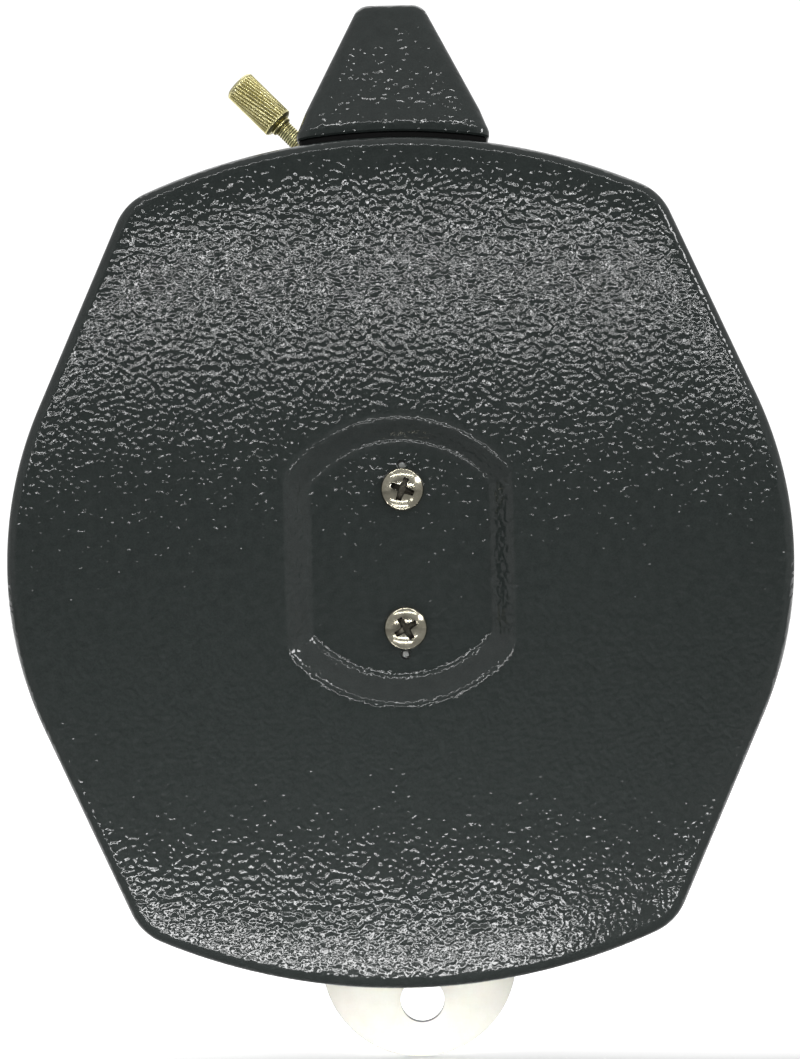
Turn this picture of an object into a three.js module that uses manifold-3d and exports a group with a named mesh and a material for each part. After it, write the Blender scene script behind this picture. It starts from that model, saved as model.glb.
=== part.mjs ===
// A large chalk line reel: a flat barrel-shaped metal case, a tapered nose that the line leaves by and that
// lifts off for filling, a knurled lock screw, a crank-driven spool on a fixed spindle, and a hanging tab.
//
// Frame, in millimetres: the origin is on the reel's axis, on the floor of the recess in the back face.
// -Y points out of the back face, +Y out of the crank side, +Z towards the nose.

import * as THREE from "three";
import { mergeVertices } from "three/addons/utils/BufferGeometryUtils.js";
import Module from "manifold-3d";

const wasm = await Module();
wasm.setup();

// ---------------------------------------------------------------- driving dimensions

const deg = Math.PI / 180;
const BACK = -4; // plane of the back face
const SEAM = 33; // where the rear shell's rim ends
const GASKET = 1; // thickness of the seal between shell and cover
const FRONT = 40; // plane of the front cover's face
const WALL = 2.2; // shell and cover thickness
const EDGE = 2.5; // radius round the edge of each face
const SNUG = 0.1; // gap between parts that touch

const CASE = {
  sideRadius: 75.2, // round side, struck from the reel's axis
  flare: 24.1 * deg, // where the round side runs out into the straight flank
  endRadius: 119, // shallow arc of the top and the bottom
  halfHeight: 81.3,
  cornerRadius: 11,
};

// A circle cut off by two upright chords, at the mouth and at the floor of the recess in the back.
const RECESS = { mouthRadius: 27.3, mouthHalf: 21.6, floorRadius: 22.6, floorHalf: 17.4 };
const RECESS_SKIN = 1; // how far the recess's inner side stands outside its outer one

const BACK_SCREWS = [[0.6, 14], [0.7, -12.6]]; // x and z of the two screws that hold the axle's flange
const BACK_SCREW = { head: 4.2, headHeight: 2.6, shank: 2.1, length: 7.2, cross: 2.1 };
const NIBS = [[0.6, 18.6], [0.6, -17.6]]; // locating nib beside each back screw
const NIB_RADIUS = 0.85;

const COVER_SCREW = { head: 3.4, headHeight: 2.2, shank: 1.7, length: 17, cross: 1.8 };
const PILLAR_RADIUS = 4.4; // pillar that each cover screw threads into
const PILLARS = [
  [45.5, 64.5], [-45.5, 64.5], [67, 0], [-67, 0], [45.5, -64.5], [-45.5, -64.5],
];

const DOME = { base: 31, top: 27.5, height: 2.5 }; // raised round pad in the middle of the cover

const NOSE = {
  y: 16, // middle of its depth
  baseHalfX: 18.6, baseHalfY: 17, baseZ: 82,
  tipHalfX: 6.2, tipHalfY: 7.5, tipZ: 109,
  corner: 2.4, lip: 1.6, wall: 2,
  gap: 1.4, // standing height above the case, filled by the gasket
};
const SPIGOT = { halfX: 11, halfY: 9.4, wall: 1.6, bottom: 71.5 }; // the nose's plug in the collar
const FELT = { halfX: SPIGOT.halfX - SPIGOT.wall - 0.2, halfY: SPIGOT.halfY - SPIGOT.wall - 0.2 };
const COLLAR = {
  halfX: 14.6, halfY: 11.8, bottom: 66,
  bore: 0.4, // room round the spigot
  flange: 3.2, flangeTop: 76.6, flangeThick: 2,
};
const LOCK = {
  tip: [-12.1, 76.85], // x and z of the pad's end face
  rise: 45.6 * deg, // the screw's slope
  thread: 1.75, pad: 1.4, padLength: 1.6,
  bossRadius: 3.3, bossLength: 9, relief: 0.35,
  shoulder: 2.15, headStart: 14.4, headRadius: 3.25, headLength: 11.5,
};

const TAB = {
  pivotZ: -49, tilt: 3.5 * deg, // it hangs a little askew in its slot
  thick: 1.8, backY: 31.1,
  endRadius: 19.9, endDrop: 32.9, holeRadius: 4.5, holeDrop: 41.3,
  eyeRadius: 8, slotHalf: 23.6,
};

const RIVET_RADIUS = 2.5; // shank of the tab's rivet

const SPOOL = {
  flangeRadius: 52, flangeThick: 2.2, back: 8, front: 30,
  drumRadius: 17, bushBore: 6.6, hubBore: 8.8, socketHalf: 6.2, socketDepth: 8.3,
};
const SPOOL_SCREW = { head: 2.2, headHeight: 0.35, shank: 1.1, length: 14, cross: 0.8 };
const WINDOWS = { count: 8, inner: 25, outer: 41, half: 11.5 * deg };
const LINE_RADIUS = 0.8;
const COIL_RADIUS = 43;

const SPINDLE_RADIUS = 5;
const HUB = { shank: 9.1, flange: 13.5, flangeBack: 44, flangeFront: 47, bossHalf: 4.5, tongueHalf: 6 };
const HUB_BUSH = { radius: 12, collar: 15.5 };
const HUB_SCREW = { head: 4.8, headHeight: 3, shank: 2.35, length: 38, cross: 2.4 };
const ARM = { back: 47.1, thick: 2.5, hubRadius: 12, pinRadius: 8.5, throw: 44 };
const KNOB = { back: 50.6, front: 74.4, bore: 3.2 };

// ---------------------------------------------------------------- materials

const finish = (color, roughness, metalness) =>
  new THREE.MeshStandardMaterial({ color, roughness, metalness });
const hammeredPaint = finish(0x3b4140, 0.35, 0.2);
const nickel = finish(0xc9c6b8, 0.25, 1);
const zinc = finish(0xd8d6cb, 0.35, 1);
const brass = finish(0xc2a94e, 0.3, 1);
const castZinc = finish(0x9b9d9c, 0.5, 0.9);
const rubber = finish(0x111111, 0.8, 0);
const felt = finish(0xb9b2a2, 1, 0);
const whiteNylon = finish(0xe6e3d8, 0.5, 0);
const reelPlastic = finish(0x202224, 0.5, 0);
const knobPlastic = finish(0x151515, 0.4, 0);
const cotton = finish(0xdfe3ea, 0.95, 0);

// ---------------------------------------------------------------- solid helpers

function toSolid(geometry) {
  const bare = geometry.index ? geometry.toNonIndexed() : geometry.clone();
  bare.deleteAttribute("normal");
  bare.deleteAttribute("uv");
  const merged = mergeVertices(bare, 1e-4);
  return new wasm.Manifold(
    new wasm.Mesh({
      numProp: 3,
      vertProperties: merged.attributes.position.array,
      triVerts: new Uint32Array(merged.index.array),
    }),
  );
}

function toGeometry(solid) {
  const mesh = solid.getMesh();
  const corners = new Float32Array(mesh.triVerts.length * 3);
  mesh.triVerts.forEach((vertex, i) => {
    const at = vertex * mesh.numProp;
    corners.set(mesh.vertProperties.subarray(at, at + 3), i * 3);
  });
  const geometry = new THREE.BufferGeometry();
  geometry.setAttribute("position", new THREE.BufferAttribute(corners, 3));
  geometry.computeVertexNormals();
  return geometry;
}

const cut = (solid, ...tools) => tools.reduce((left, tool) => left.subtract(tool), solid);
const join = (...solids) => solids.reduce((all, next) => all.add(next));

// A flat outline of [x, z] points, carried along Y from y0 to y1.
function plate(points, y0, y1) {
  const shape = new THREE.Shape(points.map(([x, z]) => new THREE.Vector2(x, z)));
  const geometry = new THREE.ExtrudeGeometry(shape, { depth: y1 - y0, bevelEnabled: false });
  return toSolid(geometry.rotateX(Math.PI / 2).translate(0, y1, 0));
}

// A closed skin over a stack of rings that all have the same number of points, each a [x, y, z] list.
function loft(rings) {
  const count = rings[0].length;
  const positions = rings.flat(2);
  const index = [];
  for (let r = 0; r + 1 < rings.length; r++)
    for (let i = 0; i < count; i++) {
      const a = r * count + i;
      const b = r * count + ((i + 1) % count);
      index.push(a, b, b + count, a, b + count, a + count);
    }
  for (let i = 1; i + 1 < count; i++) {
    index.push(0, i + 1, i);
    const top = (rings.length - 1) * count;
    index.push(top, top + i, top + i + 1);
  }
  const geometry = new THREE.BufferGeometry();
  geometry.setAttribute("position", new THREE.Float32BufferAttribute(positions, 3));
  geometry.setIndex(index);
  return toSolid(geometry);
}

// A profile of [radius, y] points turned about Y. It runs up the outside and back down the bore.
function turned(profile, segments = 28) {
  const points = profile.map(([r, y]) => new THREE.Vector2(r, y));
  if (profile[0][0] > 0) points.push(points[0].clone());
  return toSolid(new THREE.LatheGeometry(points, segments));
}

const rod = (radius, y0, y1, segments = 16) =>
  turned([[0, y0], [radius, y0], [radius, y1], [0, y1]], segments);
const ring = (inner, outer, y0, y1, segments = 28) =>
  turned([[inner, y0], [outer, y0], [outer, y1], [inner, y1]], segments);
const moved = (solid, x, y, z) => solid.translate([x, y, z]);
const box = (x0, x1, y0, y1, z0, z1) =>
  moved(
    toSolid(new THREE.BoxGeometry(x1 - x0, y1 - y0, z1 - z0)),
    (x0 + x1) / 2, (y0 + y1) / 2, (z0 + z1) / 2,
  );

// Points of an arc, from angle a0 to a1, both ends included.
function arc(cx, cz, radius, a0, a1, steps) {
  return Array.from({ length: steps + 1 }, (_, i) => {
    const a = a0 + ((a1 - a0) * i) / steps;
    return [cx + radius * Math.cos(a), cz + radius * Math.sin(a)];
  });
}

const dedupe = (points) =>
  points.filter(([x, z], i) => {
    const [px, pz] = points[(i + points.length - 1) % points.length];
    return Math.hypot(x - px, z - pz) > 1e-4;
  });

// ---------------------------------------------------------------- outlines

// The case's outline in [x, z], moved inwards by inset. Each quarter is a side arc, a straight flank that
// leaves it at a tangent, a corner arc and half of the end arc, so an inset only shortens the radii.
function caseOutline(inset) {
  const { sideRadius, flare, endRadius, halfHeight, cornerRadius } = CASE;
  const endCentre = halfHeight - endRadius;
  const reach = sideRadius - cornerRadius;
  const [nx, nz] = [Math.cos(flare), Math.sin(flare)];
  // The corner's centre is reach along the flank's normal and t up the flank.
  const t = nx * endCentre + Math.sqrt((endRadius - cornerRadius) ** 2 - (reach - nz * endCentre) ** 2);
  const cx = nx * reach - nz * t;
  const cz = nz * reach + nx * t;
  const meet = Math.atan2(cz - endCentre, cx);
  const quarter = [
    ...arc(0, 0, sideRadius - inset, 0, flare, 3),
    ...arc(cx, cz, cornerRadius - inset, flare, meet, 3),
    ...arc(0, endCentre, endRadius - inset, meet, Math.PI / 2, 4),
  ];
  const upper = [...quarter, ...quarter.map(([x, z]) => [-x, z]).reverse()];
  return dedupe([...upper, ...upper.map(([x, z]) => [x, -z]).reverse()]);
}

// A circle cut off by chords at x = half and x = -half.
function truncatedCircle(radius, half) {
  const a = Math.acos(half / radius);
  return [
    ...arc(0, 0, radius, a, Math.PI - a, 9),
    ...arc(0, 0, radius, Math.PI + a, 2 * Math.PI - a, 9),
  ];
}

// A rectangle with round corners, centred on (0, cy), in [x, y].
function roundedRectangle(halfX, halfY, corner, cy, steps = 3) {
  return [[1, 1, 0], [-1, 1, 90], [-1, -1, 180], [1, -1, 270]].flatMap(([sx, sy, a]) =>
    arc(sx * (halfX - corner), cy + sy * (halfY - corner), corner, a * deg, (a + 90) * deg, steps),
  );
}

// A solid over outline rings [points, y], for shapes that look along Y.
const alongY = (...layers) =>
  loft(layers.map(([points, y]) => [...points].reverse().map(([x, z]) => [x, y, z])));

// A solid over outline rings [points, z], for shapes that stand along Z.
const alongZ = (...layers) => loft(layers.map(([points, z]) => points.map(([x, y]) => [x, y, z])));

// ---------------------------------------------------------------- case

// Outline solid from y0 to y1 with a rounded edge at the face end.
function roundedCase(face, rim) {
  const into = Math.sign(rim - face);
  const layers = [0, 30, 60, 90].map((a) => {
    const inset = EDGE * (1 - Math.sin(a * deg));
    return [caseOutline(inset), face + into * EDGE * (1 - Math.cos(a * deg))];
  });
  layers.push([caseOutline(0), rim]);
  return alongY(...(into > 0 ? layers : layers.reverse()));
}

const recessCut = (skin, mouthY, floorY) =>
  alongY(
    [truncatedCircle(RECESS.mouthRadius + skin, RECESS.mouthHalf + skin), mouthY],
    [truncatedCircle(RECESS.floorRadius + skin, RECESS.floorHalf + skin), floorY],
  );

const lockAxis = { x: -Math.cos(LOCK.rise), z: Math.sin(LOCK.rise) }; // points out of the case

// Places a solid built along +Y from 0 onto the lock screw's axis, with its foot at the pad's end face.
function onLockAxis(solid) {
  const turn = new THREE.Matrix4().makeBasis(
    new THREE.Vector3(lockAxis.z, 0, -lockAxis.x),
    new THREE.Vector3(lockAxis.x, 0, lockAxis.z),
    new THREE.Vector3(0, -1, 0),
  );
  turn.setPosition(LOCK.tip[0], NOSE.y, LOCK.tip[1]);
  return solid.transform(turn.elements);
}

// One rod from y0 to y1 at each place.
const rodsAt = (places, radius, y0, y1, segments) =>
  places.map(([x, z]) => moved(rod(radius, y0, y1, segments), x, 0, z));
const atPillars = (...size) => rodsAt(PILLARS, ...size);

function rearShell() {
  const outside = cut(roundedCase(BACK, SEAM), recessCut(0, BACK, 0));
  const pocketInside = recessCut(RECESS_SKIN, BACK + WALL, WALL);
  const cavity = cut(plate(caseOutline(WALL), BACK + WALL, SEAM + 1), pocketInside);
  const pillars = atPillars(PILLAR_RADIUS, BACK + WALL - 0.5, SEAM - SNUG, 16);
  const screwHoles = atPillars(COVER_SCREW.shank + 0.2, SEAM - 13, SEAM + 1, 12);
  const backHoles = [
    ...rodsAt(BACK_SCREWS, BACK_SCREW.shank + 0.2, -1, WALL + 1, 16),
    ...rodsAt(NIBS, NIB_RADIUS + 0.15, -1, WALL + 1, 12),
  ];
  const { halfX, halfY } = COLLAR;
  const neck = alongZ(
    [roundedRectangle(halfX + 0.3, halfY + 0.3, 2.3, NOSE.y), 70],
    [roundedRectangle(halfX + 0.3, halfY + 0.3, 2.3, NOSE.y), 90],
  );
  const lockHole = onLockAxis(rod(LOCK.bossRadius + 0.3, 0, 14));
  const tabSlot = box(-TAB.slotHalf, TAB.slotHalf, TAB.backY - 0.15, SEAM + 1, -90, -70);
  return cut(join(cut(outside, cavity), ...pillars), ...screwHoles, ...backHoles, neck, lockHole, tabSlot);
}

function caseGasket() {
  const outer = plate(caseOutline(0.4), SEAM + SNUG / 2, SEAM + GASKET - SNUG / 2);
  return cut(outer, plate(caseOutline(WALL), SEAM - 1, SEAM + GASKET + 1));
}

function frontCover() {
  const rim = SEAM + GASKET;
  const dome = (grow, y0, y1) =>
    turned([[0, y0], [DOME.base + grow, y0], [DOME.top + grow, y1], [0, y1]], 36);
  const outside = join(roundedCase(FRONT, rim), dome(0, FRONT - 1, FRONT + DOME.height));
  const cavity = join(
    plate(caseOutline(WALL), rim - 1, FRONT - WALL),
    dome(-0.8, FRONT - WALL - 0.5, FRONT + DOME.height - WALL),
  );
  const pillars = atPillars(PILLAR_RADIUS, rim, FRONT - WALL + 0.5, 16);
  const screwHoles = atPillars(COVER_SCREW.shank + 0.2, rim - 1, FRONT + 1, 12);
  const hubHole = rod(HUB_BUSH.radius + 0.2, FRONT - 6, FRONT + 6, 40);
  const rivetHole = moved(rod(RIVET_RADIUS + 0.2, rim, FRONT + 1), 0, 0, TAB.pivotZ);
  return cut(join(cut(outside, cavity), ...pillars), ...screwHoles, hubHole, rivetHole);
}

// ---------------------------------------------------------------- screws and rivets

// A pan-head cross-recess screw along +Y: its head is above y = 0 and its shank below.
function panScrew({ head, headHeight, shank, length, cross }) {
  const body = turned([
    [0, -length], [shank, -length + shank * 0.4], [shank, 0], [head, 0],
    [head, headHeight * 0.45], [head * 0.65, headHeight], [0, headHeight],
  ], 12);
  const slot = (turn) =>
    box(-cross, cross, headHeight * 0.35, headHeight + 1, -0.5, 0.5).rotate([0, turn, 0]);
  return cut(body, slot(0), slot(90));
}

const facingBack = (solid) => solid.rotate([180, 0, 0]);

// ---------------------------------------------------------------- neck, nose and lock screw

function neckCollar() {
  const { halfX, halfY, bore, bottom, flange, flangeTop, flangeThick } = COLLAR;
  const tube = (x, y, corner, z0, z1) =>
    alongZ([roundedRectangle(x, y, corner, NOSE.y), z0], [roundedRectangle(x, y, corner, NOSE.y), z1]);
  const boss = onLockAxis(rod(LOCK.bossRadius, 0, LOCK.bossLength));
  const body = join(
    join(tube(halfX, halfY, 2, bottom, 90), boss).intersect(plate(caseOutline(SNUG), 0, SEAM)),
    tube(halfX + flange, halfY + flange, 3, flangeTop - flangeThick, flangeTop),
  );
  const inside = tube(SPIGOT.halfX + bore, SPIGOT.halfY + bore, 1.2, bottom - 1, 91);
  return cut(body, inside, onLockAxis(rod(LOCK.thread + 0.2, -3, 12, 16)));
}

// The nose's rounded rectangle at height z, shrunk by inset. Its flanks are straight from base to tip.
function noseSection(z, inset) {
  const t = (z - NOSE.baseZ) / (NOSE.tipZ - NOSE.baseZ);
  const halfX = THREE.MathUtils.lerp(NOSE.baseHalfX, NOSE.tipHalfX, t) - inset;
  const halfY = THREE.MathUtils.lerp(NOSE.baseHalfY, NOSE.tipHalfY, t) - inset;
  return roundedRectangle(halfX, halfY, Math.max(NOSE.corner - inset, 0.4), NOSE.y);
}

// The slot in the nose's flank, open downwards so that the nose lifts clear of the lock screw.
function screwNotch() {
  const half = LOCK.thread + LOCK.relief;
  const axisZ = (x) => LOCK.tip[1] + (LOCK.tip[0] - x) * Math.tan(LOCK.rise);
  const [inner, outer, foot] = [-13, -26, 70];
  const side = [[outer, foot], [inner, foot], [inner, axisZ(inner)], [outer, axisZ(outer)]];
  return join(plate(side, NOSE.y - half, NOSE.y + half), onLockAxis(rod(half, 1.5, 18)));
}

function nose() {
  const { tipZ, lip, wall, gap } = NOSE;
  const tipLayers = [0, 30, 60, 90].map((a) => {
    const z = tipZ - lip * (1 - Math.sin(a * deg));
    return [noseSection(z, lip * (1 - Math.cos(a * deg))), z];
  });
  const outside = alongZ([noseSection(77, 0), 77], ...tipLayers);
  const seat = plate(caseOutline(-gap), -10, 50);
  const inside = cut(
    alongZ([noseSection(77, wall), 77], [noseSection(tipZ - 5, wall), tipZ - 5]),
    plate(caseOutline(-gap - wall), -10, 50),
  );
  const spigotTube = (x, y, z0, z1) =>
    alongZ([roundedRectangle(x, y, 1, NOSE.y), z0], [roundedRectangle(x, y, 1, NOSE.y), z1]);
  const spigot = spigotTube(SPIGOT.halfX, SPIGOT.halfY, SPIGOT.bottom, 83);
  const bore = spigotTube(SPIGOT.halfX - SPIGOT.wall, SPIGOT.halfY - SPIGOT.wall, SPIGOT.bottom - 1, 86);
  const mouth = onLine([[0, tipZ - 6], [3.1, tipZ - 6], [3.1, tipZ + 1], [0, tipZ + 1]]);
  const eyeletSeat = onLine([[0, tipZ - 1.1], [4.4, tipZ - 1.1], [4.4, tipZ + 1], [0, tipZ + 1]]);
  return cut(join(cut(outside, seat, inside), spigot), bore, mouth, eyeletSeat, screwNotch());
}

function noseGasket() {
  const blank = alongZ([noseSection(77, 0.5), 77], [noseSection(84, 0.5), 84]);
  const layer = cut(plate(caseOutline(SNUG - NOSE.gap), -10, 50), plate(caseOutline(-SNUG), -11, 51));
  const opening = alongZ(
    [roundedRectangle(COLLAR.halfX + 0.2, COLLAR.halfY + 0.2, 2, NOSE.y), 70],
    [roundedRectangle(COLLAR.halfX + 0.2, COLLAR.halfY + 0.2, 2, NOSE.y), 90],
  );
  const screwRelief = onLockAxis(rod(LOCK.bossRadius + 0.1, 2, 14));
  return cut(blank.intersect(layer), opening, screwRelief);
}

// Turned about the line's own upright axis through the nose: the profile's y is height.
const onLine = (profile, segments = 24) =>
  moved(turned(profile, segments).rotate([90, 0, 0]), 0, NOSE.y, 0);

function mouthEyelet() {
  const top = NOSE.tipZ;
  return onLine([
    [1.2, top - 6], [2.9, top - 6], [2.9, top - 1], [4.2, top - 1], [4.2, top - 0.2],
    [3.1, top], [2.6, top - 0.4], [1.2, top - 2.6],
  ]);
}

// A block that fills the spigot from z0 to z1, with a hole for the line.
function spigotBlock(z0, z1, hole) {
  const section = roundedRectangle(FELT.halfX, FELT.halfY, 0.9, NOSE.y);
  const lineHole = onLine([[0, z0 - 1], [hole, z0 - 1], [hole, z1 + 1], [0, z1 + 1]], 16);
  return cut(alongZ([section, z0], [section, z1]), lineHole);
}

function lockPad() {
  const { pad, padLength } = LOCK;
  return onLockAxis(turned([[0, 0], [pad - 0.4, 0], [pad, 0.4], [pad, padLength], [0, padLength]], 20));
}

function thumbScrew() {
  const { thread, padLength, shoulder, headStart, headRadius, headLength } = LOCK;
  const top = headStart + headLength;
  return onLockAxis(
    turned([
      [0, padLength + SNUG], [thread * 0.8, padLength + SNUG], [thread, 2.2], [thread, headStart - 0.9],
      [shoulder, headStart - 0.9], [shoulder, headStart], [headRadius - 0.3, headStart],
      [headRadius, headStart + 0.4], [headRadius, top - 0.5], [headRadius - 0.5, top], [0, top],
    ], 28),
  );
}

// ---------------------------------------------------------------- hanging tab

function hangTab() {
  const { endRadius, endDrop, holeRadius, holeDrop, eyeRadius, thick, backY, tilt, pivotZ } = TAB;
  const spread = Math.asin((endRadius - eyeRadius) / endDrop); // slope of the straight edges
  const outline = [
    ...arc(0, 0, eyeRadius, spread, Math.PI - spread, 10),
    ...arc(0, -endDrop, endRadius, Math.PI - spread, 2 * Math.PI + spread, 20),
  ];
  const blank = plate(dedupe(outline), 0, thick);
  const holes = [
    rod(2.65, -1, thick + 1, 20),
    moved(rod(holeRadius, -1, thick + 1, 28), 0, 0, -holeDrop),
  ];
  return moved(cut(blank, ...holes).rotate([0, -tilt / deg, 0]), 0, backY, pivotZ);
}

function tabRivet() {
  const [head, foot, outer] = [TAB.backY - 0.75, TAB.backY - SNUG, FRONT + SNUG];
  const profile = [
    [0, head], [4.2, head], [4.2, foot], [RIVET_RADIUS, foot], [RIVET_RADIUS, outer], [4.5, outer],
    [3.6, FRONT + 1.3], [0, FRONT + 1.7],
  ];
  return moved(turned(profile, 24), 0, 0, TAB.pivotZ);
}

// ---------------------------------------------------------------- axle and spool

function axleFlange() {
  const base = plate(truncatedCircle(20.5, 15.5), WALL + SNUG / 2, 6.2);
  const nibs = rodsAt(NIBS, NIB_RADIUS, 0.3, 4, 12);
  const holes = rodsAt(BACK_SCREWS, BACK_SCREW.shank + 0.15, 0, 7);
  return cut(join(base, ...nibs), ...holes, rod(SPINDLE_RADIUS + 0.05, 0, 8, 32));
}

const spindle = () => cut(rod(SPINDLE_RADIUS, WALL + SNUG, 19, 32), rod(2.5, 9, 20, 16));

function flangePlate(y0, y1, bore) {
  const windows = Array.from({ length: WINDOWS.count }, (_, i) => {
    const middle = ((i + 0.5) * 2 * Math.PI) / WINDOWS.count;
    const outline = [
      ...arc(0, 0, WINDOWS.outer, middle - WINDOWS.half, middle + WINDOWS.half, 2),
      ...arc(0, 0, WINDOWS.inner, middle + WINDOWS.half, middle - WINDOWS.half, 2),
    ];
    return plate(outline, y0 - 1, y1 + 1);
  });
  const screwHoles = spoolScrewPlaces.map(([x, z]) => moved(rod(1.3, y0 - 1, y1 + 1, 10), x, 0, z));
  return cut(rod(SPOOL.flangeRadius, y0, y1, 40), ...windows, ...screwHoles, rod(bore, y0 - 1, y1 + 1, 32));
}

const spoolScrewPlaces = arc(0, 0, 12.5, 30 * deg, 270 * deg, 2);
const drumBack = SPOOL.back + SPOOL.flangeThick + SNUG / 2;
const drumFront = SPOOL.front - SPOOL.flangeThick - SNUG / 2;

function spoolDrum() {
  const socket = SPOOL.socketHalf;
  const holes = spoolScrewPlaces.map(([x, z]) => moved(rod(1.3, 14, 40, 10), x, 0, z));
  return cut(
    rod(SPOOL.drumRadius, drumBack, drumFront, 36),
    rod(SPOOL.bushBore, drumBack - 1, drumFront - SPOOL.socketDepth + 1, 32),
    box(-socket, socket, drumFront - SPOOL.socketDepth, drumFront + 1, -socket, socket),
    ...holes,
  );
}

function spoolBush() {
  const [bore, outer, shoulder] = [SPINDLE_RADIUS + SNUG, SPOOL.bushBore - SNUG, 9];
  const [foot, step, top] = [6.35, SPOOL.back - SNUG, 18.8];
  const profile = [[bore, foot], [shoulder, foot], [shoulder, step], [outer, step], [outer, top], [bore, top]];
  return turned(profile, 32);
}

const woundLine = () =>
  turned([
    [SPOOL.drumRadius + 0.3, drumBack + 0.3], [COIL_RADIUS - 1.5, drumBack + 0.3], [COIL_RADIUS - 0.3, 15],
    [COIL_RADIUS, 19], [COIL_RADIUS - 0.3, 23], [COIL_RADIUS - 1.5, drumFront - 0.3],
    [SPOOL.drumRadius + 0.3, drumFront - 0.3],
  ], 32);

// The line leaves the coil at a tangent, crosses to the neck and runs straight up through the nose.
function lineLead() {
  const turnZ = 67;
  const leave = COIL_RADIUS + LINE_RADIUS + 0.3;
  const a = Math.acos(leave / turnZ);
  const start = new THREE.Vector3(leave * Math.sin(a), 19, leave * Math.cos(a));
  const corner = new THREE.Vector3(0, NOSE.y, turnZ);
  const into = start.clone().lerp(corner, 0.9);
  const up = corner.clone().setZ(turnZ + 4);
  const end = new THREE.Vector3(0, NOSE.y, NOSE.tipZ - 3);
  const route = new THREE.CurvePath();
  route.add(new THREE.LineCurve3(start, into));
  route.add(new THREE.QuadraticBezierCurve3(into, corner, up));
  route.add(new THREE.LineCurve3(up, end));
  const section = new THREE.Shape();
  arc(0, 0, LINE_RADIUS, 0, 2 * Math.PI, 8).forEach(([x, y], i) => {
    if (i === 0) section.moveTo(x, y);
    else if (i < 8) section.lineTo(x, y);
  });
  const settings = { steps: 24, bevelEnabled: false, extrudePath: route };
  return toSolid(new THREE.ExtrudeGeometry(section, settings));
}

// ---------------------------------------------------------------- crank

function crankHub() {
  const { shank, flange, flangeBack, flangeFront, bossHalf, tongueHalf } = HUB;
  const body = join(
    rod(shank, SPOOL.front + 0.4, flangeBack + 1, 36),
    turned([
      [0, flangeBack], [flange, flangeBack], [flange, flangeFront - 0.8], [flange - 0.8, flangeFront],
      [0, flangeFront],
    ], 36),
    box(-bossHalf, bossHalf, flangeFront - 1, ARM.back + ARM.thick - SNUG, -bossHalf, bossHalf),
    box(-tongueHalf, tongueHalf, 20.2, SPOOL.front + 1, -tongueHalf, tongueHalf),
  );
  return cut(body, rod(2.7, 19, 60, 20));
}

function hubBush() {
  const [bore, collar] = [HUB.shank + SNUG, HUB_BUSH.collar];
  const [foot, step, top] = [38.8, FRONT + DOME.height + SNUG, HUB.flangeBack - 0.15];
  return turned([
    [bore, foot], [HUB_BUSH.radius, foot], [HUB_BUSH.radius, step], [collar, step],
    [collar, top - 0.35], [collar - 0.5, top], [bore, top],
  ], 36);
}

function crankArm() {
  const { back, thick, hubRadius, pinRadius, throw: reach } = ARM;
  const spread = Math.asin((hubRadius - pinRadius) / reach);
  const outline = [
    ...arc(0, 0, hubRadius, -spread, Math.PI + spread, 16),
    ...arc(0, -reach, pinRadius, Math.PI + spread, 2 * Math.PI - spread, 12),
  ];
  const square = HUB.bossHalf + SNUG;
  return cut(
    plate(dedupe(outline), back, back + thick),
    box(-square, square, back - 1, back + thick + 1, -square, square),
    moved(rod(2.7, back - 1, back + thick + 1, 20), 0, 0, -reach),
  );
}

const onPin = (profile, segments = 28) => moved(turned(profile, segments), 0, 0, -ARM.throw);

const knobPin = () =>
  onPin([
    [0, 45.4], [4.6, 45.4], [4.6, 47], [2.6, 47], [2.6, KNOB.front + 0.2], [5, KNOB.front + 0.2],
    [4.4, KNOB.front + 1.4], [2.4, KNOB.front + 2.2], [0, KNOB.front + 2.4],
  ]);

const knob = () =>
  onPin([
    [KNOB.bore, KNOB.back], [7.6, KNOB.back], [8.2, KNOB.back + 0.8], [8, 55], [7.2, 61], [7.6, 66],
    [9.2, 71], [9.2, 72.6], [8, KNOB.front - 0.3], [6.4, KNOB.front], [KNOB.bore, KNOB.front],
  ], 32);

// ---------------------------------------------------------------- assembly

const reel = new THREE.Group();

function add(name, solid, material) {
  const mesh = new THREE.Mesh(toGeometry(solid), material);
  mesh.name = name;
  reel.add(mesh);
}

add("rear_shell", rearShell(), hammeredPaint);
add("case_gasket", caseGasket(), rubber);
add("front_cover", frontCover(), hammeredPaint);
PILLARS.forEach(([x, z], i) => {
  add(`cover_screw_${i + 1}`, moved(panScrew(COVER_SCREW), x, FRONT + SNUG / 2, z), nickel);
});

add("neck_collar", neckCollar(), castZinc);
add("nose_gasket", noseGasket(), rubber);
add("nose", nose(), hammeredPaint);
add("mouth_eyelet", mouthEyelet(), brass);
add("wiper_felt", spigotBlock(73.1, 81, 1.1), felt);
add("felt_retainer", spigotBlock(71.8, 73, 3.5), zinc);
add("lock_pad", lockPad(), whiteNylon);
add("thumb_screw", thumbScrew(), brass);

add("hang_tab", hangTab(), zinc);
add("tab_rivet", tabRivet(), zinc);
add("tab_spacer", moved(ring(2.65, 6, SEAM + 0.05, FRONT - WALL - SNUG / 2, 20), 0, 0, TAB.pivotZ), zinc);

add("axle_flange", axleFlange(), castZinc);
add("spindle", spindle(), zinc);
["back_screw_top", "back_screw_bottom"].forEach((name, i) => {
  const [x, z] = BACK_SCREWS[i];
  add(name, moved(facingBack(panScrew(BACK_SCREW)), x, -SNUG / 2, z), nickel);
});

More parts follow.
